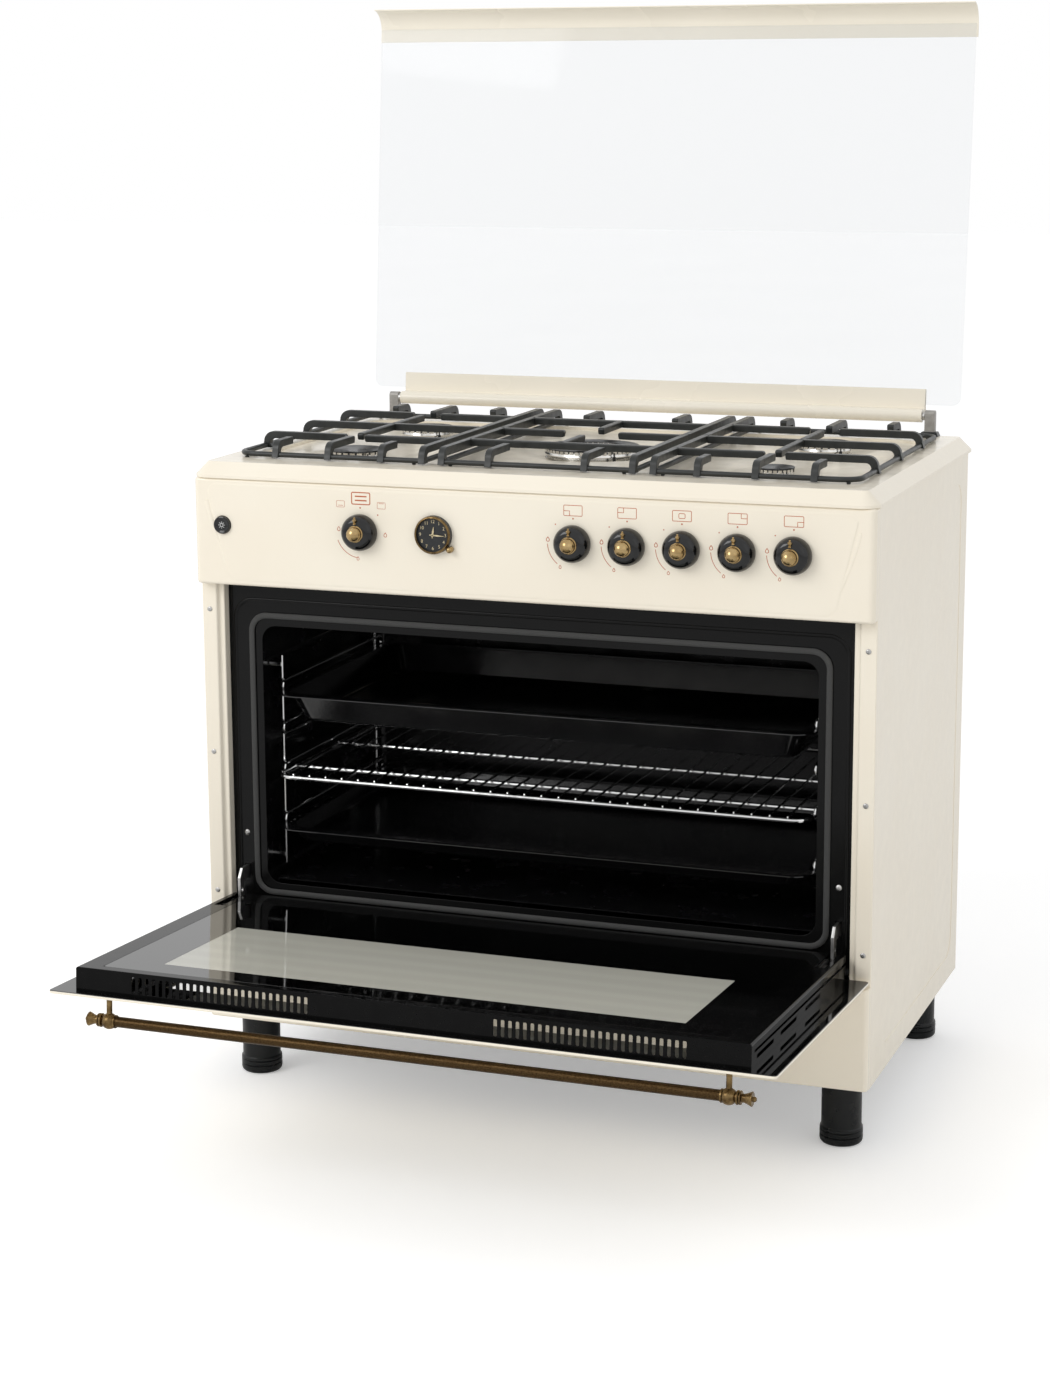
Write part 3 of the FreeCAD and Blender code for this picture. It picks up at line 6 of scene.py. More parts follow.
import bmesh
import bpy
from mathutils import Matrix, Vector


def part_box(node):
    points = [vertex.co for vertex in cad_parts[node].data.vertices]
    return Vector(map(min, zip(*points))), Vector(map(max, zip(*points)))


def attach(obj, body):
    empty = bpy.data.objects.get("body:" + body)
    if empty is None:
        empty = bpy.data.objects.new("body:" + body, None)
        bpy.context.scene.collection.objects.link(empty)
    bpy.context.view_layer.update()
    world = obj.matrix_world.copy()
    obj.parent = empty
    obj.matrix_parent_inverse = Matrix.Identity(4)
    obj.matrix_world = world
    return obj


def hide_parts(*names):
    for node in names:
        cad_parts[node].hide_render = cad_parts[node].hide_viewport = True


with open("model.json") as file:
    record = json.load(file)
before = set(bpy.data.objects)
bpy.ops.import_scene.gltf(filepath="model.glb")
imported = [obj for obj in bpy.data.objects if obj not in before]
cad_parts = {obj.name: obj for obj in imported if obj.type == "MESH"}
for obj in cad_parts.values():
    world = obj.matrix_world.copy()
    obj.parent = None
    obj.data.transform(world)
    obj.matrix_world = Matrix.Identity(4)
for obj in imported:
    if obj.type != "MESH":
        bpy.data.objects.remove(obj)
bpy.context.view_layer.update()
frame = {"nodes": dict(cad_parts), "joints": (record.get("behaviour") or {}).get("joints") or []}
mm = 0.001
done = set()  # CAD nodes that have their finish


def nodeBox(node):
    # lowest and highest corner of a CAD node in millimetres
    low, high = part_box(node)
    return [v / mm for v in low], [v / mm for v in high]


def jointPlace(name):
    return next(Vector(joint["pos_m"]) / mm for joint in frame["joints"] if joint["name"] == name)


def nodeMiddle(node):
    low, high = nodeBox(node)
    return [(a + b) / 2 for a, b in zip(low, high)]


def solidBoxes(node, apart):
    # the box of each solid of a CAD node whose solids lie further apart than they are wide
    groups = []
    for spot in [vert.co / mm for vert in frame["nodes"][node].data.vertices]:
        group = next((group for group in groups if (group[0] - spot).length < apart), None)
        if group is None:
            groups.append([spot])
        else:
            group.append(spot)
    return [([min(spot[i] for spot in group) for i in range(3)],
             [max(spot[i] for spot in group) for i in range(3)])
            for group in groups]


# selecting and shaping, as by hand

def onlyPiece(piece):
    bpy.ops.object.select_all(action="DESELECT")
    piece.select_set(True)
    bpy.context.view_layer.objects.active = piece


def openMesh(piece, kind="FACE"):
    onlyPiece(piece)
    bpy.ops.object.mode_set(mode="EDIT")
    bpy.ops.mesh.select_mode(type=kind)
    bpy.ops.mesh.select_all(action="DESELECT")


def closeMesh():
    bpy.ops.object.mode_set(mode="OBJECT")


def choose(piece, kind, wanted):
    # wanted gets the middle of each item and its direction: a normal, or an edge's run
    bpy.ops.mesh.select_mode(type=kind)
    mesh = bmesh.from_edit_mesh(piece.data)
    items = {"VERT": mesh.verts, "EDGE": mesh.edges, "FACE": mesh.faces}[kind]
    for item in items:
        if kind == "VERT":
            middle, way = item.co, item.normal
        elif kind == "EDGE":
            a, b = item.verts
            middle, way = (a.co + b.co) / 2, (b.co - a.co).normalized()
        else:
            middle, way = item.calc_center_median(), item.normal
        if wanted(middle, way):
            item.select_set(True)
    mesh.select_flush_mode()
    bmesh.update_edit_mesh(piece.data)


def addBox(name, low, high):
    bpy.ops.object.select_all(action="DESELECT")
    bpy.ops.mesh.primitive_cube_add(size=1, location=[(a + b) / 2 for a, b in zip(low, high)])
    piece = bpy.context.active_object
    piece.name = name
    piece.scale = [b - a for a, b in zip(low, high)]
    bpy.ops.object.transform_apply(location=True, rotation=True, scale=True)
    return piece


def roundEdges(piece, axis, radius, segments=5, wanted=None):
    openMesh(piece, "EDGE")
    choose(piece, "EDGE", lambda spot, way: abs(way[axis]) > 0.999 and (wanted is None or wanted(spot)))
    bpy.ops.mesh.bevel(offset=radius, segments=segments, affect="EDGES")
    closeMesh()


def applyLast(piece, change):
    onlyPiece(piece)
    bpy.ops.object.modifier_apply(modifier=change.name)


def soften(piece, width, segments=2, angle=35):
    change = piece.modifiers.new("soften", "BEVEL")
    change.width = width
    change.segments = segments
    change.limit_method = "ANGLE"
    change.angle_limit = math.radians(angle)
    applyLast(piece, change)


def carve(piece, tool, how="DIFFERENCE"):
    change = piece.modifiers.new("carve", "BOOLEAN")
    change.object = tool
    change.operation = how
    change.solver = "EXACT"
    applyLast(piece, change)
    bpy.data.objects.remove(tool)


def thicken(piece, wall, offset=-1):
    change = piece.modifiers.new("wall", "SOLIDIFY")
    change.thickness = wall
    change.offset = offset
    change.use_even_offset = True
    applyLast(piece, change)


def repeat(piece, count, step):
    change = piece.modifiers.new("row", "ARRAY")
    change.count = count
    change.use_relative_offset = False
    change.use_constant_offset = True
    change.constant_offset_displace = step
    applyLast(piece, change)


def joinAll(pieces, name):
    onlyPiece(pieces[0])
    for piece in pieces[1:]:
        piece.select_set(True)
    bpy.ops.object.join()
    pieces[0].name = name
    return pieces[0]


def copyOf(piece, name, shift=(0, 0, 0)):
    onlyPiece(piece)
    bpy.ops.object.duplicate(linked=False)
    twin = bpy.context.active_object
    twin.name = name
    twin.location = shift
    bpy.ops.object.transform_apply(location=True, rotation=True, scale=True)
    return twin


def move(piece, place=(0, 0, 0), turn=(0, 0, 0), scale=(1, 1, 1)):
    onlyPiece(piece)
    piece.rotation_euler = [math.radians(a) for a in turn]
    piece.scale = scale
    piece.location = place
    bpy.ops.object.transform_apply(location=True, rotation=True, scale=True)
    return piece


def mirrorX(piece):
    move(piece, scale=(-1, 1, 1))
    openMesh(piece)
    bpy.ops.mesh.select_all(action="SELECT")
    bpy.ops.mesh.normals_make_consistent(inside=False)
    closeMesh()
    return piece


def addChain(name, points):
    # a run of edges pulled out from one vertex; it is left in edit mode
    bpy.ops.object.select_all(action="DESELECT")
    bpy.ops.mesh.primitive_plane_add(size=1)
    piece = bpy.context.active_object
    piece.name = name
    bpy.ops.object.mode_set(mode="EDIT")
    bpy.ops.mesh.select_mode(type="VERT")
    bpy.ops.mesh.select_all(action="SELECT")
    bpy.ops.mesh.merge(type="CENTER")
    bpy.ops.transform.translate(value=points[0])
    for a, b in zip(points, points[1:]):
        step = Vector(b) - Vector(a)
        bpy.ops.mesh.extrude_region_move(TRANSFORM_OT_translate={"value": step})
    return piece


def addTurned(name, profile, steps=48):
    # profile is (radius, height) from bottom to top, spun about Z
    piece = addChain(name, [(r, 0, h) for r, h in profile])
    bpy.ops.mesh.select_all(action="SELECT")
    bpy.ops.mesh.spin(steps=steps, angle=math.tau, center=(0, 0, 0), axis=(0, 0, 1))
    bpy.ops.mesh.select_all(action="SELECT")
    bpy.ops.mesh.remove_doubles(threshold=0.002)
    bpy.ops.mesh.normals_make_consistent(inside=False)
    closeMesh()
    return piece


def addPlate(name, corners, thickness):
    # a closed outline filled and pulled out along a vector
    piece = addChain(name, corners + corners[:1])
    bpy.ops.mesh.select_all(action="SELECT")
    bpy.ops.mesh.remove_doubles(threshold=0.002)
    bpy.ops.mesh.edge_face_add()
    bpy.ops.mesh.extrude_region_move(TRANSFORM_OT_translate={"value": thickness})
    bpy.ops.mesh.select_all(action="SELECT")
    bpy.ops.mesh.normals_make_consistent(inside=False)
    closeMesh()
    return piece


def addWire(name, points, radius, closed=False, detail=2):
    bpy.ops.object.select_all(action="DESELECT")
    bpy.ops.curve.primitive_nurbs_path_add()
    wire = bpy.context.active_object
    wire.name = name
    wire.data.splines.clear()
    line = wire.data.splines.new("POLY")
    line.points.add(len(points) - 1)
    for spot, point in zip(line.points, points):
        spot.co = (*point, 1)
    line.use_cyclic_u = closed
    wire.data.dimensions = "3D"
    wire.data.bevel_depth = radius
    wire.data.bevel_resolution = detail
    wire.data.use_fill_caps = not closed
    bpy.ops.object.convert(target="MESH")
    return wire


def arcPoints(corner, before, after, radius, steps=6):
    # points that round a corner between two straight runs
    corner, before, after = Vector(corner), Vector(before), Vector(after)
    back, on = (before - corner).normalized(), (after - corner).normalized()
    half = back.angle(on) / 2
    reach = radius / math.tan(half)
    centre = corner + (back + on).normalized() * radius / math.sin(half)
    first, last = corner + back * reach - centre, corner + on * reach - centre
    points = []
    for i in range(steps + 1):
        share = i / steps
        sweep = first.angle(last)
        a = math.sin((1 - share) * sweep) / math.sin(sweep)
        b = math.sin(share * sweep) / math.sin(sweep)
        points.append(tuple(centre + first * a + last * b))
    return points


def roundedPath(corners, radius, closed=True, steps=6):
    points = []
    count = len(corners)
    for i, corner in enumerate(corners):
        if not closed and i in (0, count - 1):
            points.append(tuple(corner))
        else:
            points += arcPoints(corner, corners[i - 1], corners[(i + 1) % count], radius, steps)
    return points


def finish(piece, body, look, nodes=(), angle=35):
    # seats a millimetre piece in metres, shades it, and ties it to its body and the nodes it stands for
    move(piece, scale=(mm, mm, mm))
    bpy.ops.object.shade_smooth_by_angle(angle=math.radians(angle))
    even = piece.modifiers.new("even", "WEIGHTED_NORMAL")
    even.keep_sharp = True
    applyLast(piece, even)  # flat faces reflect flat
    if look is not None:
        piece.data.materials.clear()
        piece.data.materials.append(look)
    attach(piece, body)
    if nodes:
        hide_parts(*nodes)
        done.update(nodes)
    return piece


# finishes

def paint(red, green, blue):
    # screen colour from 0 to 255 as linear light
    line = [c / 255 for c in (red, green, blue)]
    return tuple(c / 12.92 if c <= 0.04045 else ((c + 0.055) / 1.055) ** 2.4 for c in line) + (1,)


def newLook(name, colour, roughness, metallic=0.0, coat=0.0, specular=0.5):
    look = bpy.data.materials.new(name)
    look.use_nodes = True
    shader = look.node_tree.nodes["Principled BSDF"]
    shader.inputs["Base Color"].default_value = colour
    shader.inputs["Roughness"].default_value = roughness
    shader.inputs["Metallic"].default_value = metallic
    shader.inputs["Coat Weight"].default_value = coat
    shader.inputs["Coat Roughness"].default_value = 0.06
    shader.inputs["Specular IOR Level"].default_value = specular
    return look


def addNode(look, kind, **sockets):
    node = look.node_tree.nodes.new(kind)
    for name, value in sockets.items():
        node.inputs[name.replace("_", " ")].default_value = value
    return node


def shaderOf(look):
    return look.node_tree.nodes["Principled BSDF"]


def spotsOf(look):
    # Object coordinates, shared by every pattern of a finish
    for node in look.node_tree.nodes:
        if node.type == "TEX_COORD":
            return node.outputs["Object"]
    return look.node_tree.nodes.new("ShaderNodeTexCoord").outputs["Object"]


def addNoise(look, scale, detail=3.0, stretch=None):
    link = look.node_tree.links.new
    noise = addNode(look, "ShaderNodeTexNoise", Scale=scale, Detail=detail)
    source = spotsOf(look)
    if stretch:
        mapping = addNode(look, "ShaderNodeMapping", Scale=stretch)
        link(source, mapping.inputs["Vector"])
        source = mapping.outputs["Vector"]
    link(source, noise.inputs["Vector"])
    return noise.outputs["Fac"]


def addRamp(look, source, stops):
    ramp = look.node_tree.nodes.new("ShaderNodeValToRGB")
    while len(ramp.color_ramp.elements) < len(stops):
        ramp.color_ramp.elements.new(0.5)
    for element, (place, colour) in zip(ramp.color_ramp.elements, stops):
        element.position = place
        element.color = colour
    look.node_tree.links.new(source, ramp.inputs["Fac"])
    return ramp.outputs["Color"]


def mottle(look, scale, dark, light, low=0.35, high=0.65, detail=3.0, stretch=None):
    colour = addRamp(look, addNoise(look, scale, detail, stretch), [(low, dark), (high, light)])
    look.node_tree.links.new(colour, shaderOf(look).inputs["Base Color"])
    return colour


def roughen(look, scale, low, high, detail=4.0, stretch=None):
    grey = addRamp(look, addNoise(look, scale, detail, stretch), [(0.3, (low, low, low, 1)),
                                                                  (0.7, (high, high, high, 1))])
    look.node_tree.links.new(grey, shaderOf(look).inputs["Roughness"])


def addBump(look, scale, strength, distance, detail=3.0, stretch=None, height=None):
    link = look.node_tree.links.new
    bump = addNode(look, "ShaderNodeBump", Strength=strength, Distance=distance)
    link(height or addNoise(look, scale, detail, stretch), bump.inputs["Height"])
    for node in look.node_tree.nodes:
        if node.type == "BUMP" and node != bump and node.outputs["Normal"].links:
            link(node.outputs["Normal"], bump.inputs["Normal"])
            break
    link(bump.outputs["Normal"], shaderOf(look).inputs["Normal"])
    return bump


def speckle(look, scale, base, fleck, share):
    # small flecks scattered over the base colour
    link = look.node_tree.links.new
    cells = addNode(look, "ShaderNodeTexVoronoi", Scale=scale)
    link(spotsOf(look), cells.inputs["Vector"])
    colour = addRamp(look, cells.outputs["Distance"], [(share, fleck), (share * 1.6, base)])
    link(colour, shaderOf(look).inputs["Base Color"])


enamel = {"light": (249, 241, 224), "dark": (247, 238, 220), "gloss": 0.22, "coat": 0.12}


def makeCreamEnamel():
    look = newLook("creamEnamel", paint(*enamel["light"]), enamel["gloss"], coat=enamel["coat"],
                   specular=0.35)
    mottle(look, 6, paint(*enamel["dark"]), paint(*enamel["light"]))
    roughen(look, 40, 0.17, 0.26)
    addBump(look, 260, 0.12, 0.0006)
    return look


def makeRailEnamel():
    look = newLook("railEnamel", paint(246, 239, 223), 0.26, coat=0.1, specular=0.4)
    mottle(look, 4, paint(244, 237, 221), paint(248, 241, 226))
    roughen(look, 6, 0.24, 0.3)
    addBump(look, 300, 0.03, 0.0002)
    return look


def makeOvenEnamel():
    look = newLook("ovenEnamel", paint(16, 16, 17), 0.16, coat=0.0, specular=0.45)
    speckle(look, 420, paint(14, 14, 15), paint(52, 52, 54), 0.08)
    roughen(look, 30, 0.16, 0.3)
    addBump(look, 180, 0.18, 0.0008)
    return look


def makeFrameEnamel():
    look = newLook("frameEnamel", paint(13, 13, 13), 0.16, specular=0.16)
    speckle(look, 500, paint(12, 12, 12), paint(34, 34, 34), 0.05)
    roughen(look, 25, 0.16, 0.26)
    addBump(look, 150, 0.12, 0.0006)
    return look


def makeBoxEnamel():
    look = newLook("boxEnamel", paint(8, 8, 8), 0.12, specular=0.1)
    mottle(look, 60, paint(7, 7, 7), paint(10, 10, 10))
    roughen(look, 20, 0.08, 0.16)
    addBump(look, 60, 0.05, 0.0004)
    return look


def makeTrayEnamel():
    look = newLook("trayEnamel", paint(11, 11, 12), 0.1, specular=0.6)
    speckle(look, 380, paint(10, 10, 11), paint(40, 40, 43), 0.07)
    roughen(look, 20, 0.1, 0.2)
    addBump(look, 90, 0.1, 0.0008)
    return look


def makeCastIron():
    look = newLook("castIron", paint(34, 37, 36), 0.34, specular=0.45)
    mottle(look, 60, paint(30, 33, 32), paint(40, 42, 41), detail=5.0)
    roughen(look, 120, 0.3, 0.44)
    addBump(look, 900, 0.12, 0.0002, detail=4.0)
    return look


def makeCapEnamel():
    look = newLook("capEnamel", paint(26, 26, 27), 0.3, specular=0.45)
    mottle(look, 150, paint(22, 22, 23), paint(31, 31, 31))
    roughen(look, 80, 0.26, 0.4)
    addBump(look, 700, 0.2, 0.0003)
    return look


def makeBurnerAlloy():
    look = newLook("burnerAlloy", paint(222, 220, 215), 0.2, metallic=1.0)
    mottle(look, 60, paint(212, 210, 205), paint(228, 226, 222), detail=5.0)
    roughen(look, 200, 0.16, 0.28)
    addBump(look, 1200, 0.06, 0.0001)
    return look


def makeBrass():
    look = newLook("antiqueBrass", paint(176, 150, 106), 0.24, metallic=1.0)
    mottle(look, 70, paint(150, 124, 82), paint(188, 163, 118), 0.3, 0.7, detail=4.0)
    roughen(look, 160, 0.18, 0.3)
    addBump(look, 1400, 0.08, 0.0001)
    return look


def makeBronze():
    look = newLook("antiqueBronze", paint(66, 50, 31), 0.32, metallic=1.0)
    mottle(look, 900, paint(52, 38, 22), paint(86, 68, 44), 0.34, 0.68, detail=6.0, stretch=(0.5, 1, 1))
    roughen(look, 500, 0.3, 0.44, stretch=(0.6, 1, 1))
    addBump(look, 1600, 0.12, 0.0001, detail=5.0)
    return look


def makeOldBrass():
    look = newLook("oldBrass", paint(112, 92, 60), 0.26, metallic=1.0)
    mottle(look, 120, paint(82, 64, 40), paint(134, 112, 76), 0.32, 0.66, detail=5.0)
    roughen(look, 200, 0.22, 0.34)
    addBump(look, 1400, 0.08, 0.0001)
    return look


def makeChrome():
    look = newLook("chromeWire", paint(214, 214, 214), 0.12, metallic=1.0)
    roughen(look, 150, 0.08, 0.2)
    addBump(look, 800, 0.08, 0.0002)
    return look


def makeZinc():
    look = newLook("zincSteel", paint(186, 185, 183), 0.35, metallic=1.0)
    mottle(look, 45, paint(170, 169, 167), paint(200, 199, 197), detail=5.0)
    roughen(look, 90, 0.28, 0.46)
    addBump(look, 600, 0.15, 0.0003)
    return look


def makeGreyPost():
    look = newLook("greyPost", paint(160, 157, 152), 0.4, metallic=0.3)
    mottle(look, 120, paint(150, 147, 142), paint(170, 167, 162))
    roughen(look, 150, 0.35, 0.5)
    addBump(look, 900, 0.15, 0.0002)
    return look


def makeKnobBlack():
    look = newLook("knobBlack", paint(9, 10, 11), 0.08, specular=0.5)
    roughen(look, 60, 0.06, 0.12)
    addBump(look, 500, 0.06, 0.0002)
    return look


def makeDialBlack():
    look = newLook("dialBlack", paint(22, 24, 26), 0.35)
    mottle(look, 160, paint(19, 21, 23), paint(26, 28, 30))
    roughen(look, 90, 0.3, 0.42)
    return look


def makeLegBlack():
    look = newLook("legBlack", paint(15, 17, 18), 0.26, specular=0.3)
    mottle(look, 18, paint(13, 15, 16), paint(19, 21, 22))
    roughen(look, 60, 0.24, 0.4)
    addBump(look, 420, 0.15, 0.0004)
    return look


def makeGasket():
    look = newLook("gasketBraid", paint(44, 44, 44), 0.75)
    link = look.node_tree.links.new
    waves = []
    for turn in (0.8, -0.8):
        mapping = addNode(look, "ShaderNodeMapping", Rotation=(0, turn, 0))
        wave = addNode(look, "ShaderNodeTexWave", Scale=220.0, Distortion=0.6)
        link(spotsOf(look), mapping.inputs["Vector"])
        link(mapping.outputs["Vector"], wave.inputs["Vector"])
        waves.append(wave.outputs["Fac"])
    blend = look.node_tree.nodes.new("ShaderNodeMath")
    blend.operation = "MAXIMUM"
    link(waves[0], blend.inputs[0])
    link(waves[1], blend.inputs[1])
    colour = addRamp(look, blend.outputs[0], [(0.2, paint(24, 24, 24)), (0.9, paint(74, 74, 73))])
    link(colour, shaderOf(look).inputs["Base Color"])
    addBump(look, 0, 0.6, 0.0006, height=blend.outputs[0])
    return look


def makeGiltPrint():
    look = newLook("giltPrint", paint(206, 190, 152), 0.4, metallic=0.2)
    mottle(look, 300, paint(196, 178, 138), paint(214, 200, 164))
    roughen(look, 200, 0.34, 0.46)
    return look


def makeLampLook():
    look = newLook("lampGlass", paint(214, 208, 190), 0.12, specular=0.6)
    mottle(look, 90, paint(206, 200, 182), paint(220, 214, 198))
    roughen(look, 60, 0.08, 0.18)
    return look


def makePrint():
    look = newLook("orangePrint", paint(188, 96, 48), 0.4)
    mottle(look, 700, paint(180, 88, 42), paint(196, 106, 58))
    return look


def makeWhitePrint():
    look = newLook("whitePrint", paint(226, 226, 224), 0.4)
    mottle(look, 700, paint(218, 218, 216), paint(232, 232, 230))
    return look


# lay out by the frame
panelLow, panelHigh = nodeBox("control_panel")
panelFace = panelLow[1]  # the raised field
frontY = panelFace + 1
print("frame loaded, control panel face at", round(panelFace, 1), "mm")

creamEnamel = makeCreamEnamel()
railEnamel = makeRailEnamel()
ovenEnamel = makeOvenEnamel()
frameEnamel = makeFrameEnamel()
trayEnamel = makeTrayEnamel()
boxEnamel = makeBoxEnamel()
castIron = makeCastIron()
capEnamel = makeCapEnamel()
burnerAlloy = makeBurnerAlloy()
antiqueBrass = makeBrass()
antiqueBronze = makeBronze()
oldBrass = makeOldBrass()
chromeWire = makeChrome()
zincSteel = makeZinc()
greyPost = makeGreyPost()
knobBlack = makeKnobBlack()
dialBlack = makeDialBlack()
legBlack = makeLegBlack()
gasketBraid = makeGasket()
orangePrint = makePrint()
whitePrint = makeWhitePrint()
giltPrint = makeGiltPrint()
print("finishes ready")

knobNames = ["oven_knob"] + ["burner_knob_%d" % i for i in range(1, 6)]


# control panel: a pressed fascia with a raised field that has slanted ends
controlPanel = {"corner": 9, "edge": 4, "wall": 3, "fieldRise": 1.0, "slope": 3,
                "fieldTop": 5, "fieldBottom": 5, "topInset": 17, "bottomInset": 47, "fieldCorner": 14,
                "crease": 2.2}


def makeControlPanel():
    own = controlPanel
    low, high = panelLow[:], panelHigh[:]
    low[1] = frontY
    shell = addBox("controlPanel", low, high)
    roundEdges(shell, 2, own["corner"], 8, lambda spot: spot.y < frontY + 1)
    openMesh(shell, "EDGE")
    rims = (low[2], high[2])
    choose(shell, "EDGE", lambda spot,
           way: min(abs(spot.z - z) for z in rims) < 0.01 and abs(way.z) < 0.01
           and spot.y < high[1] - 1)
    bpy.ops.mesh.bevel(offset=own["edge"], segments=5, affect="EDGES")
    closeMesh()
    room = addBox("room", (low[0] + own["wall"], low[1] + own["wall"], low[2] + own["wall"]),
                  (high[0] - own["wall"], high[1] + 5, high[2] - own["wall"]))
    carve(shell, room)
    top, bottom = high[2] - own["fieldTop"], low[2] + own["fieldBottom"]
    corners = [(low[0] + own["bottomInset"], frontY + 0.5, bottom), (high[0] - own["bottomInset"],
                                                                     frontY + 0.5, bottom),
               (high[0] - own["topInset"], frontY + 0.5, top), (low[0] + own["topInset"], frontY + 0.5,
                                                                top)]
    field = addPlate("field", corners, (0, -0.5 - own["fieldRise"], 0))
    openMesh(field, "EDGE")
    choose(field, "EDGE", lambda spot, way: abs(way.y) > 0.99)
    bpy.ops.mesh.bevel(offset=own["fieldCorner"], segments=8, affect="EDGES")
    closeMesh()
    openMesh(field, "FACE")
    choose(field, "FACE", lambda spot, way: way.y < -0.9)
    bpy.ops.transform.resize(value=(1 - own["slope"] * 2 / 860, 1, 1 - own["slope"] * 2 / 103),
                             center_override=(0, frontY, (top + bottom) / 2))
    closeMesh()
    creases = []
    for sign in (-1, 1):
        points = []
        for share in [i / 10 for i in range(11)]:
            inset = own["topInset"] + 2 + (own["bottomInset"] - own["topInset"]) * share ** 1.3
            points.append((sign * (high[0] - inset), frontY - 0.5,
                           top - 24 + (bottom - top + 44) * share))
        crease = addWire("crease", points, own["crease"], False, 3)
        creases.append(move(crease, (0, frontY * 0.78, 0), scale=(1, 0.22, 1)))
    holes = []
    for node, reach in [(name, 4) for name in knobNames] + [("clock_set_knob", 2.8),
                                                            ("light_button", 12.1)]:
        spot = nodeMiddle(node)
        bpy.ops.object.select_all(action="DESELECT")
        bpy.ops.mesh.primitive_cylinder_add(vertices=40, radius=reach, depth=60,
                                            location=(spot[0], frontY, spot[2]),
                                            rotation=(math.pi / 2, 0, 0))
        holes.append(bpy.context.active_object)
    drill = joinAll(holes, "drill")
    onlyPiece(drill)
    bpy.ops.object.transform_apply(location=True, rotation=True, scale=True)
    twin = copyOf(drill, "twin")
    carve(shell, drill)
    carve(field, twin)
    joinAll([shell, field] + creases, "controlPanel")
    finish(shell, "cooker", creamEnamel, ["control_panel"], angle=24)


# side panels: a folded sheet with a stepped front stile and a shallow pressed field
sidePanel = {"wall": 1.2, "flat": 20, "step": 5.5, "width": 29, "return": 20, "fold": 1.6,
             "field": 0.5, "marginY": 62, "marginZ": 34, "corner": 30}


def makeSidePanel(side):
    own = sidePanel
    low, high = nodeBox("side_panel_left" if side < 0 else "side_panel_right")
    out = max(abs(low[0]), abs(high[0]))
    front, back, wall = low[1], high[1], own["wall"]
    step = front + own["step"]
    lip = nodeBox("oven_front_frame")[0][1] - 0.4
    fold = [(out - own["return"], back), (out, back), (out, front), (out - own["flat"], front),
            (out - own["flat"] - 3, step), (out - own["width"], step), (out - own["width"], lip),
            (out - own["width"] + wall, lip), (out - own["width"] + wall, step + wall),
            (out - own["flat"] - 3 + wall * 0.6, step + wall), (out - own["flat"] + wall * 0.6,
                                                                front + wall),
            (out - wall, front + wall), (out - wall, back - wall), (out - own["return"], back - wall)]
    panel = addPlate("sidePanel", [(side * x, y, low[2]) for x, y in fold], (0, 0, high[2] - low[2]))
    field = addBox("field", (out - own["field"] if side > 0 else -out - 2, front + own["marginY"],
                             low[2] + own["marginZ"]),
                   (out + 2 if side > 0 else own["field"] - out, back - own["marginY"] * 0.6,
                    high[2] - own["marginZ"]))
    roundEdges(field, 0, own["corner"], 10)
    carve(panel, field)
    openMesh(panel, "EDGE")
    choose(panel, "EDGE", lambda spot,
           way: abs(way.z) > 0.999 and (abs(spot.y - front) < 0.01 or abs(spot.y - step) < 0.01)
           and spot.z > low[2] + 5)
    bpy.ops.mesh.bevel(offset=own["fold"], segments=4, affect="EDGES")
    closeMesh()
    finish(panel, "cooker", creamEnamel, ["side_panel_left" if side < 0 else "side_panel_right"],
           28)


# plinth: the cream skirt under the door
plinth = {"corner": 6, "edge": 2, "wall": 1.5}


def makePlinth():
    low, high = nodeBox("plinth_panel")
    skirt = addBox("plinth", low, high)
    roundEdges(skirt, 2, plinth["corner"], 6, lambda spot: spot.y < low[1] + 1)
    openMesh(skirt, "EDGE")
    choose(skirt, "EDGE", lambda spot, way: abs(way.z) < 0.01 and spot.y < high[1] - 1)
    bpy.ops.mesh.bevel(offset=plinth["edge"], segments=4, affect="EDGES")
    closeMesh()
    room = addBox("room", (low[0] + plinth["wall"] * 2, low[1] + plinth["wall"], low[2] - 5),
                  (high[0] - plinth["wall"] * 2, high[1] + 5, high[2] - plinth["wall"]))
    carve(skirt, room)
    finish(skirt, "cooker", creamEnamel, ["plinth_panel"])


# printed marks: what each knob serves, its dots, flames and sweep
mark = {"line": 0.46, "iconWidth": 24, "iconHeight": 13, "iconRise": 41, "small": 7.5, "sweep": 33.5}
burnerSpots = [(-1, -1), (-1, 1), (0, 0), (1, 1), (1, -1)]


def ring(x, z, reach, start=0, stop=360, steps=20):
    return [(x + reach * math.cos(math.radians(start + (stop - start) * i / steps)), 0,
             z + reach * math.sin(math.radians(start + (stop - start) * i / steps))) for i in range(steps + 1)]


def frameLine(x, z, wide, high, corner=1.2):
    box = [(x - wide / 2, 0, z - high / 2), (x + wide / 2, 0, z - high / 2),
           (x + wide / 2, 0, z + high / 2), (x - wide / 2, 0, z + high / 2)]
    return roundedPath(box, corner, steps=3)


def flame(x, z, tall):
    # a teardrop outline with its point up
    return [(x + tall * 0.46 * math.sin(a) * abs(math.cos(a / 2)), 0, z - tall * 0.5 * math.cos(a))
            for a in [math.tau * i / 18 for i in range(18)]]


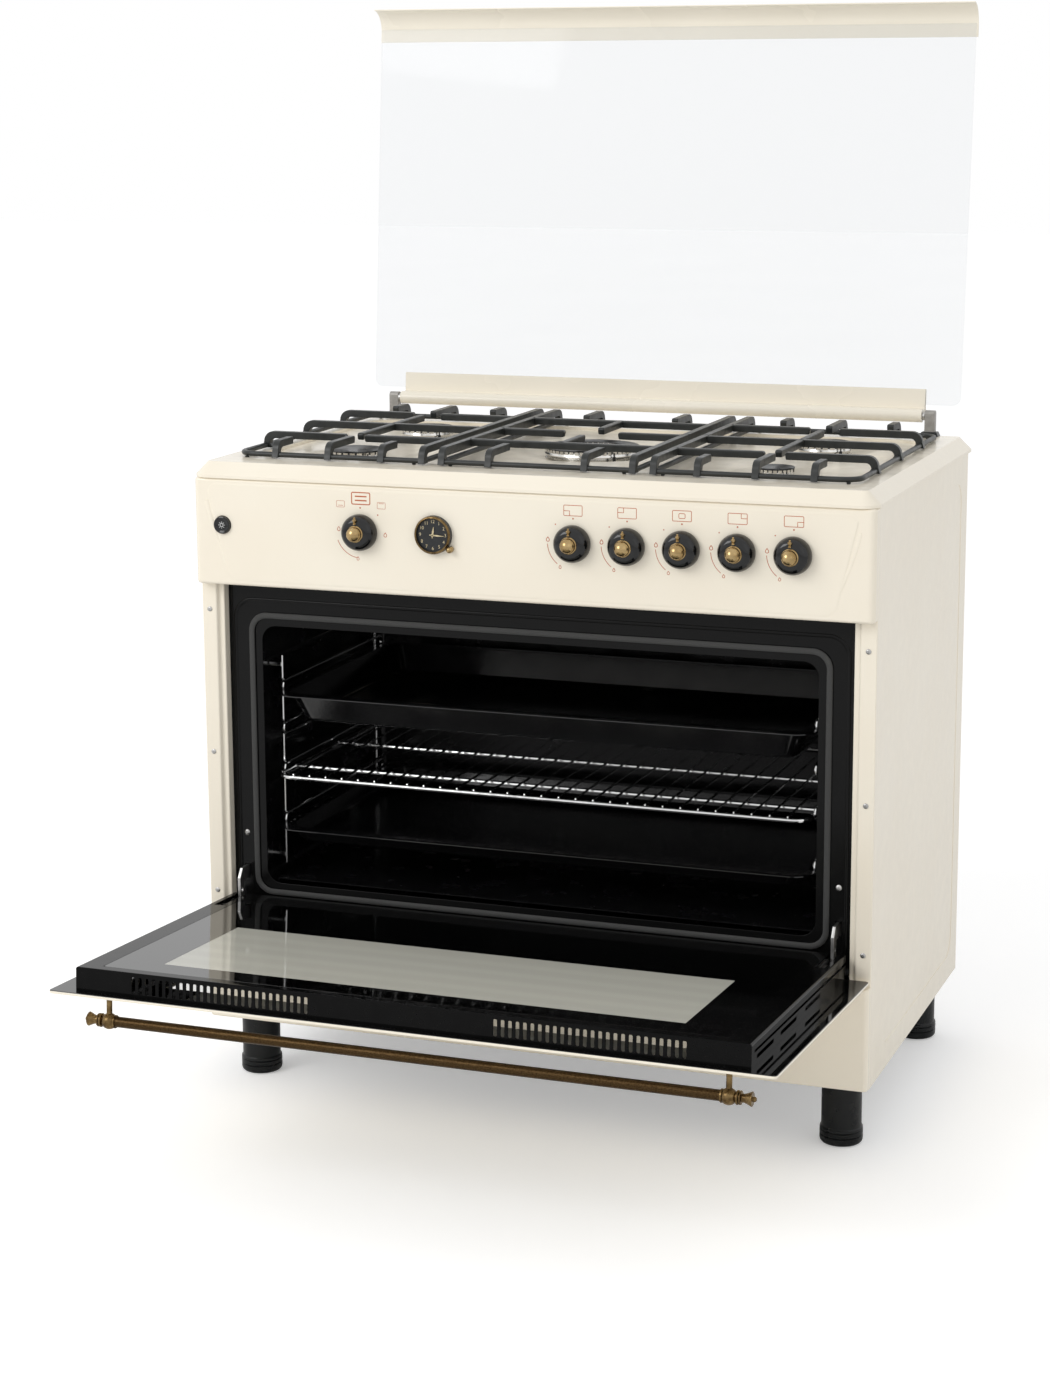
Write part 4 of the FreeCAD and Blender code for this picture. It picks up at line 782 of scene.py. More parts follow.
def makeMarks():
    lines = []

    def stroke(points, closed=False, radius=mark["line"]):
        lines.append(addWire("stroke", points, radius, closed, 1))

    for index, name in enumerate(knobNames[1:]):
        x, _, z = nodeMiddle(name)
        stroke(frameLine(x, z + mark["iconRise"], mark["iconWidth"], mark["iconHeight"]), True)
        across, up = burnerSpots[index]
        if across == 0:
            stroke(frameLine(x, z + mark["iconRise"], 8, 6, 1.5), True)
        else:
            cx = x + across * (mark["iconWidth"] / 2 - mark["small"] / 2)
            cz = z + mark["iconRise"] + up * (mark["iconHeight"] / 2 - 3)
            stroke([(cx - across * mark["small"] / 2, 0, cz + up * 3), (cx - across * mark["small"] / 2,
                                                                        0, cz - up * 3),
                    (cx + across * mark["small"] / 2, 0, cz - up * 3)])
        stroke(ring(x, z + 31, 0.7, steps=8)[:-1], True, 0.5)
        stroke(ring(x - 23, z + 23, 0.5, steps=8)[:-1], True, 0.45)
        stroke(ring(x, z, mark["sweep"], 183, 232))
        stroke(flame(x - 33, z + 4, 5.6), True, 0.5)
        stroke(flame(x - 17, z - 30, 4.2), True, 0.42)
    x, _, z = nodeMiddle("oven_knob")
    stroke(frameLine(x + 1, z + 43, 25, 15, 1.6), True, 0.75)
    for rise in (-2.6, 2.6):
        stroke([(x - 7, 0, z + 43 + rise), (x + 9, 0, z + 43 + rise)], False, 0.95)
    for cx, rise in ((x - 27, -1.8), (x + 29, 2.6)):
        stroke(frameLine(cx, z + 35, 11, 8, 1), True, 0.3)
        stroke([(cx - 3.4, 0, z + 35 + rise), (cx + 3.4, 0, z + 35 + rise)], False, 0.35)
    stroke(ring(x, z + 31, 0.7, steps=8)[:-1], True, 0.5)
    stroke(ring(x + 24, z + 23, 0.6, steps=8)[:-1], True, 0.45)
    stroke(ring(x, z, mark["sweep"], 200, 262))
    stroke(flame(x - 30, z + 3, 5.4), True, 0.45)
    stroke(flame(x + 34, z - 2, 5.4), True, 0.45)
    stroke(flame(x - 4, z - 34, 4.4), True, 0.4)
    marks = joinAll(lines, "panelMarks")
    move(marks, place=(0, panelFace, 0), scale=(1, 0.3, 1))
    finish(marks, "cooker", orangePrint)


# hob: a pressed plate with a soft rim, a sunk field and a round well for each burner
hob = {"corner": 22, "rim": 16, "field": 4, "margin": 52, "fieldCorner": 40, "well": 7, "dish": 38,
       "slope": 24, "soft": 3.2}
burnerPlaces = []


def findBurners():
    # middle and reach of each burner, from the separate solids of the caps
    for low, high in solidBoxes("burner_caps", 140):
        burnerPlaces.append(((low[0] + high[0]) / 2, (low[1] + high[1]) / 2,
                             (high[0] - low[0]) / 2 / 1.05))


def makeHob():
    low, high = nodeBox("hob_plate")
    plate = addBox("hobPlate", low, high)
    roundEdges(plate, 2, hob["corner"], 10)
    openMesh(plate, "EDGE")
    choose(plate, "EDGE", lambda spot, way: abs(spot.z - high[2]) < 0.01)
    bpy.ops.mesh.bevel(offset=hob["rim"], segments=1, affect="EDGES")
    closeMesh()
    front = low[1] + hob["margin"] + 26
    field = addBox("field", (low[0] + hob["margin"], front, high[2] - hob["field"]),
                   (high[0] - hob["margin"], front + high[1] - low[1] - hob["margin"] * 2 - 46,
                    high[2] + 5))
    roundEdges(field, 2, hob["fieldCorner"], 10)
    carve(plate, field)
    for x, y, reach in burnerPlaces:
        wide = reach + hob["dish"]
        bpy.ops.object.select_all(action="DESELECT")
        bpy.ops.mesh.primitive_cone_add(vertices=96, radius1=wide - hob["slope"], radius2=wide + 0.6,
                                        depth=hob["well"] + 0.6,
                                        location=(x, y, high[2] - hob["field"] - hob["well"] / 2 + 0.3))
        carve(plate, bpy.context.active_object)
    soften(plate, hob["soft"], 4, 25)
    finish(plate, "cooker", creamEnamel, ["hob_plate"], 30)


# burners: a bright cup, a crown of flame teeth and a black cap
burner = {"teeth": 24, "ringTeeth": 52, "toothDeep": 3.0, "toothShare": 0.6, "toothWide": 0.37,
          "capLift": 1.2}


def makeBurners():
    bowlLow, bowlHigh = nodeBox("burner_bowls")
    z0, z1 = bowlLow[2], bowlHigh[2]
    z2 = nodeBox("burner_crowns")[1][2] + burner["capLift"]
    z3 = nodeBox("burner_caps")[1][2]
    cups, crowns, caps = [], [], []
    for x, y, reach in burnerPlaces:
        wide = reach > 50
        cup = addTurned("cup", [(0, z0), (reach * 0.96, z0), (reach, z0 + 1), (reach * 0.92, z0 + 2),
                                (reach * 0.88, z0 + 2.6),
                                (reach * 0.9, z1), (0, z1)], 64)
        cups.append(move(cup, (x, y, 0)))
        split = z1 + (z2 - z1) * burner["toothShare"]
        if wide:
            body = addTurned("crown", [(0, z1), (reach, z1), (reach * 1.01, z1 + 1),
                                       (reach * 0.98, split), (reach * 0.8, split),
                                       (reach * 0.74, z1 + 1), (reach * 0.34, z1 + 1),
                                       (reach * 0.32, z1 + 2),
                                       (reach * 0.3, split + 1), (0, split + 1)], 96)
        else:
            body = addTurned("crown", [(0, z1), (reach, z1), (reach * 1.01, z1 + 1),
                                       (reach * 0.98, split), (0, split)], 64)
        teeth = burner["ringTeeth"] if wide else burner["teeth"]
        arc = math.tau * reach / teeth
        half = arc * burner["toothWide"]
        tooth = addBox("tooth", (reach * 0.99 - burner["toothDeep"], -half, split - 1), (reach, half, z2))
        soften(tooth, 0.25, 1)
        openMesh(tooth, "FACE")
        bpy.ops.mesh.select_all(action="SELECT")
        bpy.ops.mesh.spin(steps=teeth, angle=math.tau, center=(0, 0, 0), axis=(0, 0, 1), dupli=True)
        closeMesh()
        crowns.append(move(joinAll([body, tooth], "crown"), (x, y, 0)))
        if wide:
            cap = addTurned("cap", [(reach * 0.66, z2), (reach * 1.03, z2), (reach * 1.03, z2 + 0.9),
                                    (reach * 1.01, z2 + 1.7),
                                    (reach * 0.94, z3 - 0.4), (reach * 0.84, z3 - 0.1),
                                    (reach * 0.74, z3 - 0.6), (reach * 0.67, z2 + 1.4),
                                    (reach * 0.66, z2)], 96)
            middle = addTurned("capMiddle", [(0, split + 1), (reach * 0.36, split + 1),
                                             (reach * 0.37, split + 2.4),
                                             (reach * 0.33, z3 - 0.8), (reach * 0.2, z3 - 0.2), (0, z3)],
                                             64)
            cap = joinAll([cap, middle], "cap")
        else:
            cap = addTurned("cap", [(0, z2), (reach * 1.03, z2), (reach * 1.03, z2 + 0.9),
                                    (reach * 1.0, z2 + 1.8),
                                    (reach * 0.9, z3 - 0.6), (reach * 0.6, z3 - 0.1), (0, z3)], 64)
        caps.append(move(cap, (x, y, 0)))
        lead = addTurned("spark", [(0, z0), (2.2, z0), (2.2, z1 + 2), (1, z1 + 2.4), (0.9, z2 - 1),
                                   (0, z2 - 0.6)], 20)
        caps.append(move(lead, (x + (reach + 5) * 0.7, y - (reach + 5) * 0.7, 0)))
    finish(joinAll(cups, "burnerCups"), "cooker", burnerAlloy, ["burner_bowls"])
    finish(joinAll(crowns, "burnerCrowns"), "cooker", burnerAlloy, ["burner_crowns"])
    finish(joinAll(caps, "burnerCaps"), "cooker", capEnamel, ["burner_caps"])


# pan supports: a thin cast border with bent fingers that rise from it
support = {"bar": 9, "deep": 9.4, "rail": 7, "corner": 26, "prong": 74, "soft": 2.0}
supportTall = nodeBox("pan_support_left")[1][2] - nodeBox("pan_support_left")[0][2] - 1.5


def addFinger(start, toward, length, foot=True):
    bar, deep, high = support["bar"], support["deep"], supportTall
    if foot:
        outer = arcPoints((0, 0, high), (0, 0, 0), (length, 0, high), bar + 5, 7)
        inner = arcPoints((bar - 0.5, 0, high - deep), (length, 0, high - deep), (bar, 0, 0), 7, 6)
        side = [(-2.5, 0, 0), (-1.2, 0, 4)] + outer + [(length - 2, 0, high), (length, 0, high - 2.5),
                                                       (length - 1.5, 0, high - deep)]
        side += inner + [(bar + 0.4, 0, 5), (bar + 4, 0, 0)]
    else:
        side = [(0, 0, high - deep), (0, 0, high), (length - 2, 0, high), (length, 0, high - 2.5),
                (length - 1.5, 0, high - deep)]
    finger = addPlate("finger", side, (0, bar, 0))
    move(finger, (0, -bar * 0.5, 0))
    soften(finger, support["soft"], 3, 50)
    return move(finger, (start[0], start[1], 0), (0, 0, math.degrees(math.atan2(toward[1], toward[0]))))


def addBorder(x0, x1, y0, y1, roundRight):
    corners = [(x0, y0, 0), (x1, y0, 0), (x1, y1, 0), (x0, y1, 0)]
    inset = support["rail"] / 2
    path = []
    for i, corner in enumerate(corners):
        cx = corner[0] + (inset if corner[0] == x0 else -inset)
        cy = corner[1] + (inset if corner[1] == y0 else -inset)
        path.append((cx, cy, support["rail"] / 2))
    points = []
    for i, corner in enumerate(path):
        wide = support["corner"] - inset if roundRight and corner[0] > (x0 + x1) / 2 else 4
        points += arcPoints(corner, path[i - 1], path[(i + 1) % 4], wide, 8)
    border = addWire("border", points, support["rail"] / 2, True, 3)
    return border


def makeSideSupport():
    low, high = nodeBox("pan_support_right")
    inner, outer, front, back = low[0], high[0], low[1], high[1]
    bar = support["bar"]
    right = sorted([spot for spot in burnerPlaces if spot[0] > 50], key=lambda spot: spot[1])
    parts = [addBorder(inner, outer, front, back, True)]
    middle = (right[0][1] + right[1][1]) / 2
    burnerX = right[0][0]
    half = (back - front) / 2 + 1
    parts.append(addFinger((inner + bar / 2, front), (0, 1), half))
    parts.append(addFinger((inner + bar / 2, back), (0, -1), half))
    small, medium = right[0][2], right[1][2]
    for y, reach in ((right[0][1], small), (right[1][1], medium)):
        parts.append(addFinger((outer, y), (-1, 0), outer - burnerX - reach * 0.55))
        parts.append(addFinger((inner + bar / 2, y), (1, 0), burnerX - inner - bar / 2 - reach * 0.55,
                               False))
    parts.append(addFinger((outer, middle), (-1, 0), outer - inner - bar))
    parts.append(addFinger((burnerX, front), (0, 1), right[0][1] - front - small * 0.55))
    parts.append(addFinger((burnerX, back), (0, -1), back - right[1][1] - medium * 0.55))
    parts.append(addFinger((burnerX, middle), (0, -1), middle - right[0][1] - small * 0.55, False))
    parts.append(addFinger((burnerX, middle), (0, 1), right[1][1] - middle - medium * 0.55, False))
    for x in (burnerX - support["prong"], burnerX + support["prong"]):
        parts.append(addFinger((x, front), (0, 1), 48))
        parts.append(addFinger((x, back), (0, -1), 48))
    return parts


def makeMiddleSupport():
    low, high = nodeBox("pan_support_middle")
    half, front, back = high[0], low[1], high[1]
    bar = support["bar"]
    ringBurner = [spot for spot in burnerPlaces if abs(spot[0]) < 50][0]
    middle, reach = ringBurner[1], ringBurner[2]
    parts = [addBorder(-half, half, front, back, False)]
    for sign in (-1, 1):
        x = sign * (half - bar / 2)
        parts.append(addFinger((x, front), (0, 1), (back - front) / 2 + 1))
        parts.append(addFinger((x, back), (0, -1), (back - front) / 2 + 1))
        parts.append(addFinger((x, middle), (-sign, 0), half - bar / 2 - reach * 0.6, False))
        for y, turn in ((front, 1), (back, -1)):
            parts.append(addFinger((sign * 64, y), (0, turn), 70))
        parts.append(addFinger((0, middle + sign * (reach + 62)), (0, -sign), 62 + reach * 0.4, False))
        parts.append(addFinger((-half + bar / 2, middle + sign * (reach + 58)), (1, 0), half * 2 - bar,
                               False))
    return parts


def makeSupports():
    level = nodeBox("pan_support_left")[0][2] + 1.5
    right = joinAll(makeSideSupport(), "panSupportRight")
    middle = joinAll(makeMiddleSupport(), "panSupportMiddle")
    left = mirrorX(copyOf(right, "panSupportLeft"))
    for piece, word in ((left, "left"), (middle, "middle"), (right, "right")):
        low, high = nodeBox("pan_support_" + word)
        move(piece, (0, 0, level))
        pads = []
        for x in (low[0] + 16, high[0] - 16):
            for y in (low[1] + support["rail"] / 2, high[1] - support["rail"] / 2):
                pads.append(move(addTurned("pad", [(0, low[2]), (2.2, low[2]), (2.8, level),
                                                   (0, level + 2)], 16), (x, y, 0)))
        joinAll([piece] + pads, piece.name)
        finish(piece, "support_" + word, castIron, ["pan_support_" + word], 40)


# lid: a clear pane between a curved nose rail and a rail rolled round the hinge pin
lid = {"angle": 95, "half": 433, "reach": 553, "nose": 30, "offset": 14, "glass": 4, "wall": 1.6,
       "roll": 9,
       "rollHalf": 384, "strip": 36, "pin": 4.1, "corner": 12}
lidAxis = jointPlace("lid_hinge")


def seatLid(piece):
    return move(piece, lidAxis, (-lid["angle"], 0, 0))


def makeLidGlass():
    look = newLook("lidGlass", paint(214, 220, 226), 0.03, specular=0.6)
    roughen(look, 12, 0.02, 0.05)
    shaderOf(look).inputs["Alpha"].default_value = 0.12
    return look


def makeLid():
    own = lid
    pane = addBox("lidGlass", (-own["half"], own["nose"] - 4 - own["reach"], own["offset"]),
                  (own["half"], -14, own["offset"] + own["glass"]))
    roundEdges(pane, 2, own["corner"], 8, lambda spot: spot.y > -100)
    soften(pane, 0.7, 2)
    finish(seatLid(pane), "lid", makeLidGlass(), ["lid_glass"])

    top = own["offset"] + own["glass"] + 0.3 + own["wall"]
    nose, reach, wall = own["nose"], own["reach"], own["wall"]
    centre = Vector((0, nose - reach, top - nose))
    outer = [tuple(centre + Vector((0, -nose * math.sin(a),
                                    nose * math.cos(a)))) for a in [math.pi / 2 * i / 14 for i in range(15)]]
    inner = [tuple(centre + Vector((0, -(nose - wall) * math.sin(a), (nose - wall) * math.cos(a))))
             for a in [math.pi / 2 * i / 14 for i in range(14, -1, -1)]]
    edge = nose - reach + 14
    corners = [(0, edge, top)] + outer + inner + [(0, edge, top - wall)]
    rail = addPlate("lidTopRail", [(-own["half"] - 2, y, z) for _, y, z in corners],
                    (own["half"] * 2 + 4, 0, 0))
    soften(rail, 0.4, 2, 50)
    finish(seatLid(rail), "lid", railEnamel, ["lid_top_rail"], 30)

    face = own["offset"] + own["glass"] + 0.3 + wall
    side = [(0, -own["strip"], face), (0, -own["strip"] * 0.44, face), (0, -own["strip"] * 0.42,
                                                                        face - 1.1),
            (0, -own["strip"] * 0.34, face - 1.1), (0, -own["strip"] * 0.32, face), (0, -4, face)]
    for i in range(13):
        turn = math.radians(62 - 270 * i / 12)
        side.append((0, own["roll"] * math.cos(turn), own["roll"] * math.sin(turn)))
    side += [(0, -own["roll"] + 0.6, 4), (0, -own["roll"] - 1, own["offset"] - 2),
             (0, -own["strip"], own["offset"] - 2),
             (0, -own["strip"], own["offset"] - 0.4), (0, -4, own["offset"] - 0.4), (0, -4, face - wall),
             (0, -own["strip"], face - wall)]
    body = addPlate("lidBottomRail", [(-own["rollHalf"], y, z) for _, y, z in side],
                    (own["rollHalf"] * 2, 0, 0))
    bpy.ops.object.select_all(action="DESELECT")
    bpy.ops.mesh.primitive_cylinder_add(vertices=32, radius=own["pin"], depth=own["rollHalf"] * 3,
                                        rotation=(0, math.pi / 2, 0))
    carve(body, bpy.context.active_object)
    soften(body, 0.35, 2, 50)
    finish(seatLid(body), "lid", railEnamel, ["lid_bottom_rail"], 30)


hinge = {"gap": 4, "width": 14, "depth": 12, "foot": 6, "footOut": 6, "pin": 4}


def makeLidHinge(side):
    word = "left" if side < 0 else "right"
    low, high = nodeBox("lid_hinge_" + word)
    inner = lid["rollHalf"] + hinge["gap"]
    post = addBox("post", (inner, lidAxis.y - hinge["depth"] / 2, low[2] + 4),
                  (inner + hinge["width"], lidAxis.y + hinge["depth"] / 2, high[2]))
    roundEdges(post, 0, 5, 6, lambda spot: spot.z > high[2] - 1)
    soften(post, 0.9, 3, 50)
    foot = addBox("foot", (inner - hinge["footOut"], low[1], low[2]),
                  (inner + hinge["width"] + hinge["footOut"], high[1], low[2] + hinge["foot"]))
    openMesh(foot, "FACE")
    choose(foot, "FACE", lambda spot, way: way.z > 0.9)
    bpy.ops.transform.resize(value=(0.8, 0.86, 1), center_override=(inner + hinge["width"] / 2,
                                                                    (low[1] + high[1]) / 2, 0))
    closeMesh()
    soften(foot, 0.7, 3, 30)
    pin = addTurned("pin", [(0, 0), (hinge["pin"] - 0.4, 0), (hinge["pin"], 0.4), (hinge["pin"], 29),
                            (0, 29)], 32)
    move(pin, (inner - hinge["gap"] - 24, lidAxis.y, lidAxis.z), (0, 90, 0))
    collar = addTurned("collar", [(hinge["pin"], 0), (6, 0), (6, 2.6), (hinge["pin"], 2.6),
                                  (hinge["pin"], 0)], 32)
    move(collar, (inner - 2.8, lidAxis.y, lidAxis.z), (0, 90, 0))
    foot.data.materials.append(legBlack)
    post.data.materials.append(greyPost)
    pin.data.materials.append(zincSteel)
    collar.data.materials.append(zincSteel)
    whole = joinAll([post, foot, pin, collar], "lidHinge" + word.title())
    if side < 0:
        mirrorX(whole)
    finish(whole, "cooker", None, ["lid_hinge_" + word])


# oven: pressed front frame, ribbed liner and braided gasket
oven = {"opening": 20, "emboss": 26, "bead": 1.3, "beadWide": 5, "beadOut": 20, "beadUp": 16,
        "linerCorner": 20, "linerWall": 1.5, "rib": 6, "ribLevels": (330, 395, 450, 510, 565)}


def roundedRectangle(low, high, y, radius, steps=6):
    return roundedPath([(low[0], y, low[2]), (high[0], y, low[2]), (high[0], y, high[2]),
                        (low[0], y, high[2])], radius, steps=steps)


def makeOvenFrame():
    low, high = nodeBox("oven_front_frame")
    linerLow, linerHigh = nodeBox("oven_liner")
    gasketLow, gasketHigh = nodeBox("door_gasket")
    claw = nodeBox("door_hinge_claws")
    plate = addBox("ovenFrame", low, high)
    half = linerHigh[0] - oven["linerWall"] - 12
    hole = addBox("hole", (-half, low[1] - 5, linerLow[2] + 9.5), (half, high[1] + 5,
                                                                   linerHigh[2] - 31.5))
    roundEdges(hole, 1, oven["opening"], 10)
    carve(plate, hole)
    for x in (-claw[1][0] + 2, claw[1][0] - 2):
        carve(plate, addBox("slot", (x - 4, low[1] - 5, claw[1][2] - 18.5),
                            (x + 4, high[1] + 5, claw[1][2] + 0.5)))
    soften(plate, 0.5, 3, 40)
    out, up = oven["beadOut"], oven["beadUp"]
    lowIn = (gasketLow[0] - out, 0, gasketLow[2] - up)
    highIn = (gasketHigh[0] + out, 0, gasketHigh[2] + up)
    path = roundedRectangle(lowIn, highIn, 0, oven["emboss"], 10)
    bead = addWire("bead", path, oven["beadWide"] / 2, True, 3)
    move(bead, (0, low[1] + 0.2, 0), scale=(1, oven["bead"] / oven["beadWide"] * 2, 1))
    joinAll([plate, bead], "ovenFrame")
    finish(plate, "cooker", frameEnamel, ["oven_front_frame"], 40)


def makeOvenLiner():
    low, high = nodeBox("oven_liner")
    shell = addBox("ovenLiner", low, high)
    roundEdges(shell, 1, oven["linerCorner"], 8)
    openMesh(shell, "EDGE")
    choose(shell, "EDGE", lambda spot, way: abs(spot.y - high[1]) < 0.01)
    bpy.ops.mesh.bevel(offset=12, segments=6, affect="EDGES")
    closeMesh()
    openMesh(shell, "FACE")
    choose(shell, "FACE", lambda spot, way: way.y < -0.9)
    bpy.ops.mesh.delete(type="FACE")
    closeMesh()
    thicken(shell, oven["linerWall"], -1)
    press = addBox("press", (low[0] + 70, high[1] - 7, low[2] + 60), (high[0] - 70, high[1] - 1,
                                                                      high[2] - 60))
    roundEdges(press, 1, 30, 8)
    soften(press, 2, 3, 40)
    ribs = [press]
    for z in oven["ribLevels"]:
        for side in (-1, 1):
            x = side * (high[0] - oven["linerWall"])
            rib = addWire("rib", [(x, low[1] + 40, z), (x, high[1] - 50, z)], oven["rib"], False, 3)
            ribs.append(move(rib, (x * 0.72, 0, 0), scale=(0.28, 1, 1)))
    joinAll([shell] + ribs, "ovenLiner")
    finish(shell, "cooker", ovenEnamel, ["oven_liner"], 40)


def makeGasketCord():
    low, high = nodeBox("door_gasket")
    reach = (nodeBox("oven_front_frame")[1][0] - nodeBox("oven_front_frame")[0][0]) / 1000 + 3.15
    middle = (low[1] + high[1]) / 2
    path = roundedRectangle((low[0] + reach, 0, low[2] + reach), (high[0] - reach, 0, high[2] - reach),
                            0, 22, 10)
    cord = addWire("doorGasket", path, reach, True, 4)
    move(cord, (0, middle, 0), scale=(1, (high[1] - low[1]) / 2 / reach, 1))
    finish(cord, "cooker", gasketBraid, ["door_gasket"])


# ladders: chrome uprights on wall spacers, with looped pairs of rungs
ladder = {"wire": 2.5, "spacer": 4, "gap": 16}


def makeLadder(side):
    word = "left" if side < 0 else "right"
    low, high = nodeBox("shelf_ladder_" + word)
    wire = ladder["wire"]
    rung = side * (min(abs(low[0]), abs(high[0])) + wire)
    post = rung + side * wire * 2
    wall = side * max(abs(low[0]), abs(high[0]))
    front, back = low[1] + 12, high[1] - 12
    parts = []
    for y in (front, back):
        parts.append(addWire("upright", [(post, y, low[2]), (post, y, high[2])], wire, False, 3))
        for z in (low[2] + 12, high[2] - 12):
            parts.append(addWire("spacer", [(post, y, z), (wall, y, z)], ladder["spacer"], False, 3))
    levels = [nodeBox("lower_tray")[1][2] - 1.2, nodeBox("wire_rack")[0][2],
              nodeBox("top_tray")[1][2] - 1.2]
    levels.append((levels[1] + levels[2]) / 2)
    for level in levels:
        z = level - wire - 0.3
        corners = [(rung, low[1] + wire, z), (rung, high[1] - wire, z),
                   (rung, high[1] - wire, z + ladder["gap"]), (rung, low[1] + wire, z + ladder["gap"])]
        parts.append(addWire("rung", roundedPath(corners, 7.5, steps=6), wire, True, 3))
    finish(joinAll(parts, "shelfLadder" + word.title()), "cooker", chromeWire, ["shelf_ladder_" + word])


# trays: pressed, with sloped walls, a soft foot and a rolled rim
tray = {"corner": 26, "rim": 14, "wall": 1.2, "draft": 0.35, "foot": 7}


def makeTray(node, slotted):
    low, high = nodeBox(node)
    rim, wall = tray["rim"], tray["wall"]
    pan = addBox(node, (low[0] + rim, low[1] + rim, low[2]), (high[0] - rim, high[1] - rim, high[2]))
    roundEdges(pan, 2, tray["corner"], 8)
    deep = high[2] - low[2]
    middle = [(a + b) / 2 for a, b in zip(low, high)]
    openMesh(pan, "FACE")
    choose(pan, "FACE", lambda spot, way: way.z > 0.9)
    bpy.ops.mesh.delete(type="FACE")
    choose(pan, "FACE", lambda spot, way: way.z < -0.9)
    inset = deep * tray["draft"] * 2
    bpy.ops.transform.resize(value=(1 - inset / (high[0] - low[0] - 2 * rim),
                                    1 - inset / (high[1] - low[1] - 2 * rim), 1),
                             center_override=(middle[0], middle[1], low[2]))
    bpy.ops.mesh.select_all(action="DESELECT")
    choose(pan, "EDGE", lambda spot, way: abs(spot.z - low[2]) < 0.01)
    bpy.ops.mesh.bevel(offset=tray["foot"], segments=5, affect="EDGES")
    bpy.ops.mesh.select_all(action="DESELECT")
    choose(pan, "EDGE", lambda spot, way: abs(spot.z - high[2]) < 0.01)
    for grow, drop in ((2.5, 0), (rim - 1.2, 0), (rim, -0.5), (rim, -0.7)):
        bpy.ops.mesh.extrude_region_move(TRANSFORM_OT_translate={"value": (0, 0, 0)})
        spots = [v.co for v in bmesh.from_edit_mesh(pan.data).verts if v.select]
        wide, long = max(v.x for v in spots) * 2 - 2 * middle[0], (max(v.y for v in spots) - middle[1]) * 2
        goalX, goalY = high[0] - low[0] - 2 * rim + grow * 2, high[1] - low[1] - 2 * rim + grow * 2
        bpy.ops.transform.resize(value=(goalX / wide, goalY / long, 1),
                                 center_override=(middle[0], middle[1], high[2]))
        if drop:
            bpy.ops.transform.translate(value=(0, 0, drop))
    closeMesh()
    thicken(pan, wall * 0.7, -1)
    if slotted:
        for side in (-1, 1):
            for k in range(3):
                y = low[1] + 34 + k * 52
                x = side * (high[0] - rim / 2)
                slot = addBox("slot", (x - 4.5, y, high[2] - 4), (x + 4.5, y + 34, high[2] + 4))
                roundEdges(slot, 2, 4, 5)
                carve(pan, slot)
    finish(pan, node, trayEnamel, [node], 40)


# wire rack: a bent border, cross bars and close wires welded on top
rack = {"rod": 3.2, "wire": 1.5, "count": 30, "corner": 26}


def makeRack():
    low, high = nodeBox("wire_rack")
    rod, wire = rack["rod"], rack["wire"]
    level = low[2] + rod
    left, right, front, back = low[0] + rod, high[0] - rod, low[1] + rod, high[1] - rod
    border = roundedPath([(left, front, level), (right, front, level), (right, back, level),
                          (left, back, level)], rack["corner"] - rod)
    parts = [addWire("border", border, rod, True, 3)]
    for share in (0.16, 0.54):
        y = front + (back - front) * share
        parts.append(addWire("bar", [(left, y, level), (right, y, level)], rod * 0.9, False, 3))
    pitch = (right - left - rack["corner"] * 2) / (rack["count"] - 1)
    x = left + rack["corner"]
    top = level + rod + wire * 0.7
    run = roundedPath([(x, front - 0.5, level + 1), (x, front, top), (x, back, top),
                       (x, back + 0.5, level + 1)], 1.5, False, 4)
    wires = addWire("wires", run, wire, False, 1)
    repeat(wires, rack["count"], (pitch, 0, 0))
    parts.append(wires)
    finish(joinAll(parts, "wireRack"), "wire_rack", chromeWire, ["wire_rack"])


# door, drawn shut about its pivot: two panes, a slotted black box, and a turned brass handle
door = {"open": 86.5, "face": 15.7, "glass": 4, "half": 449, "low": 1, "top": 433.3, "boxHalf": 417.5,
        "boxLow": 5,
        "boxTop": 422, "boxDeep": 29.5, "wall": 1.5, "innerHalf": 388, "innerLow": 40, "innerTop": 408,
        "windowHalf": 326, "windowLow": 169, "windowTop": 369, "vents": 26, "ventWide": 4.5,
        "ventTall": 20,
        "ventInner": 115, "ventOuter": 343, "claw": 403, "slot": 12}
doorAxis = jointPlace("door_hinge")


def seatDoor(piece):
    return move(piece, doorAxis, (door["open"], 0, 0))


def addWindowMask(look, half, near, far):
    # 1 inside the clear window, 0 under the printed border, in the open door's plan
    link = look.node_tree.links.new
    mapping = addNode(look, "ShaderNodeMapping", Location=(0, (near + far) / 2 * mm - doorAxis.y * mm, 0))
    link(spotsOf(look), mapping.inputs["Vector"])
    split = look.node_tree.nodes.new("ShaderNodeSeparateXYZ")
    link(mapping.outputs["Vector"], split.inputs[0])
    shares = []
    for axis, reach in (("X", half * mm), ("Y", (far - near) / 2 * mm)):
        size = look.node_tree.nodes.new("ShaderNodeMath")
        size.operation = "ABSOLUTE"
        link(split.outputs[axis], size.inputs[0])
        test = look.node_tree.nodes.new("ShaderNodeMath")
        test.operation = "LESS_THAN"
        test.inputs[1].default_value = reach
        link(size.outputs[0], test.inputs[0])
        shares.append(test.outputs[0])
    both = look.node_tree.nodes.new("ShaderNodeMath")
    both.operation = "MULTIPLY"
    link(shares[0], both.inputs[0])
    link(shares[1], both.inputs[1])
    return both.outputs[0]


def mapRange(look, source, low, high):
    node = addNode(look, "ShaderNodeMapRange", To_Min=low, To_Max=high)
    look.node_tree.links.new(source, node.inputs["Value"])
    return node.outputs["Result"]


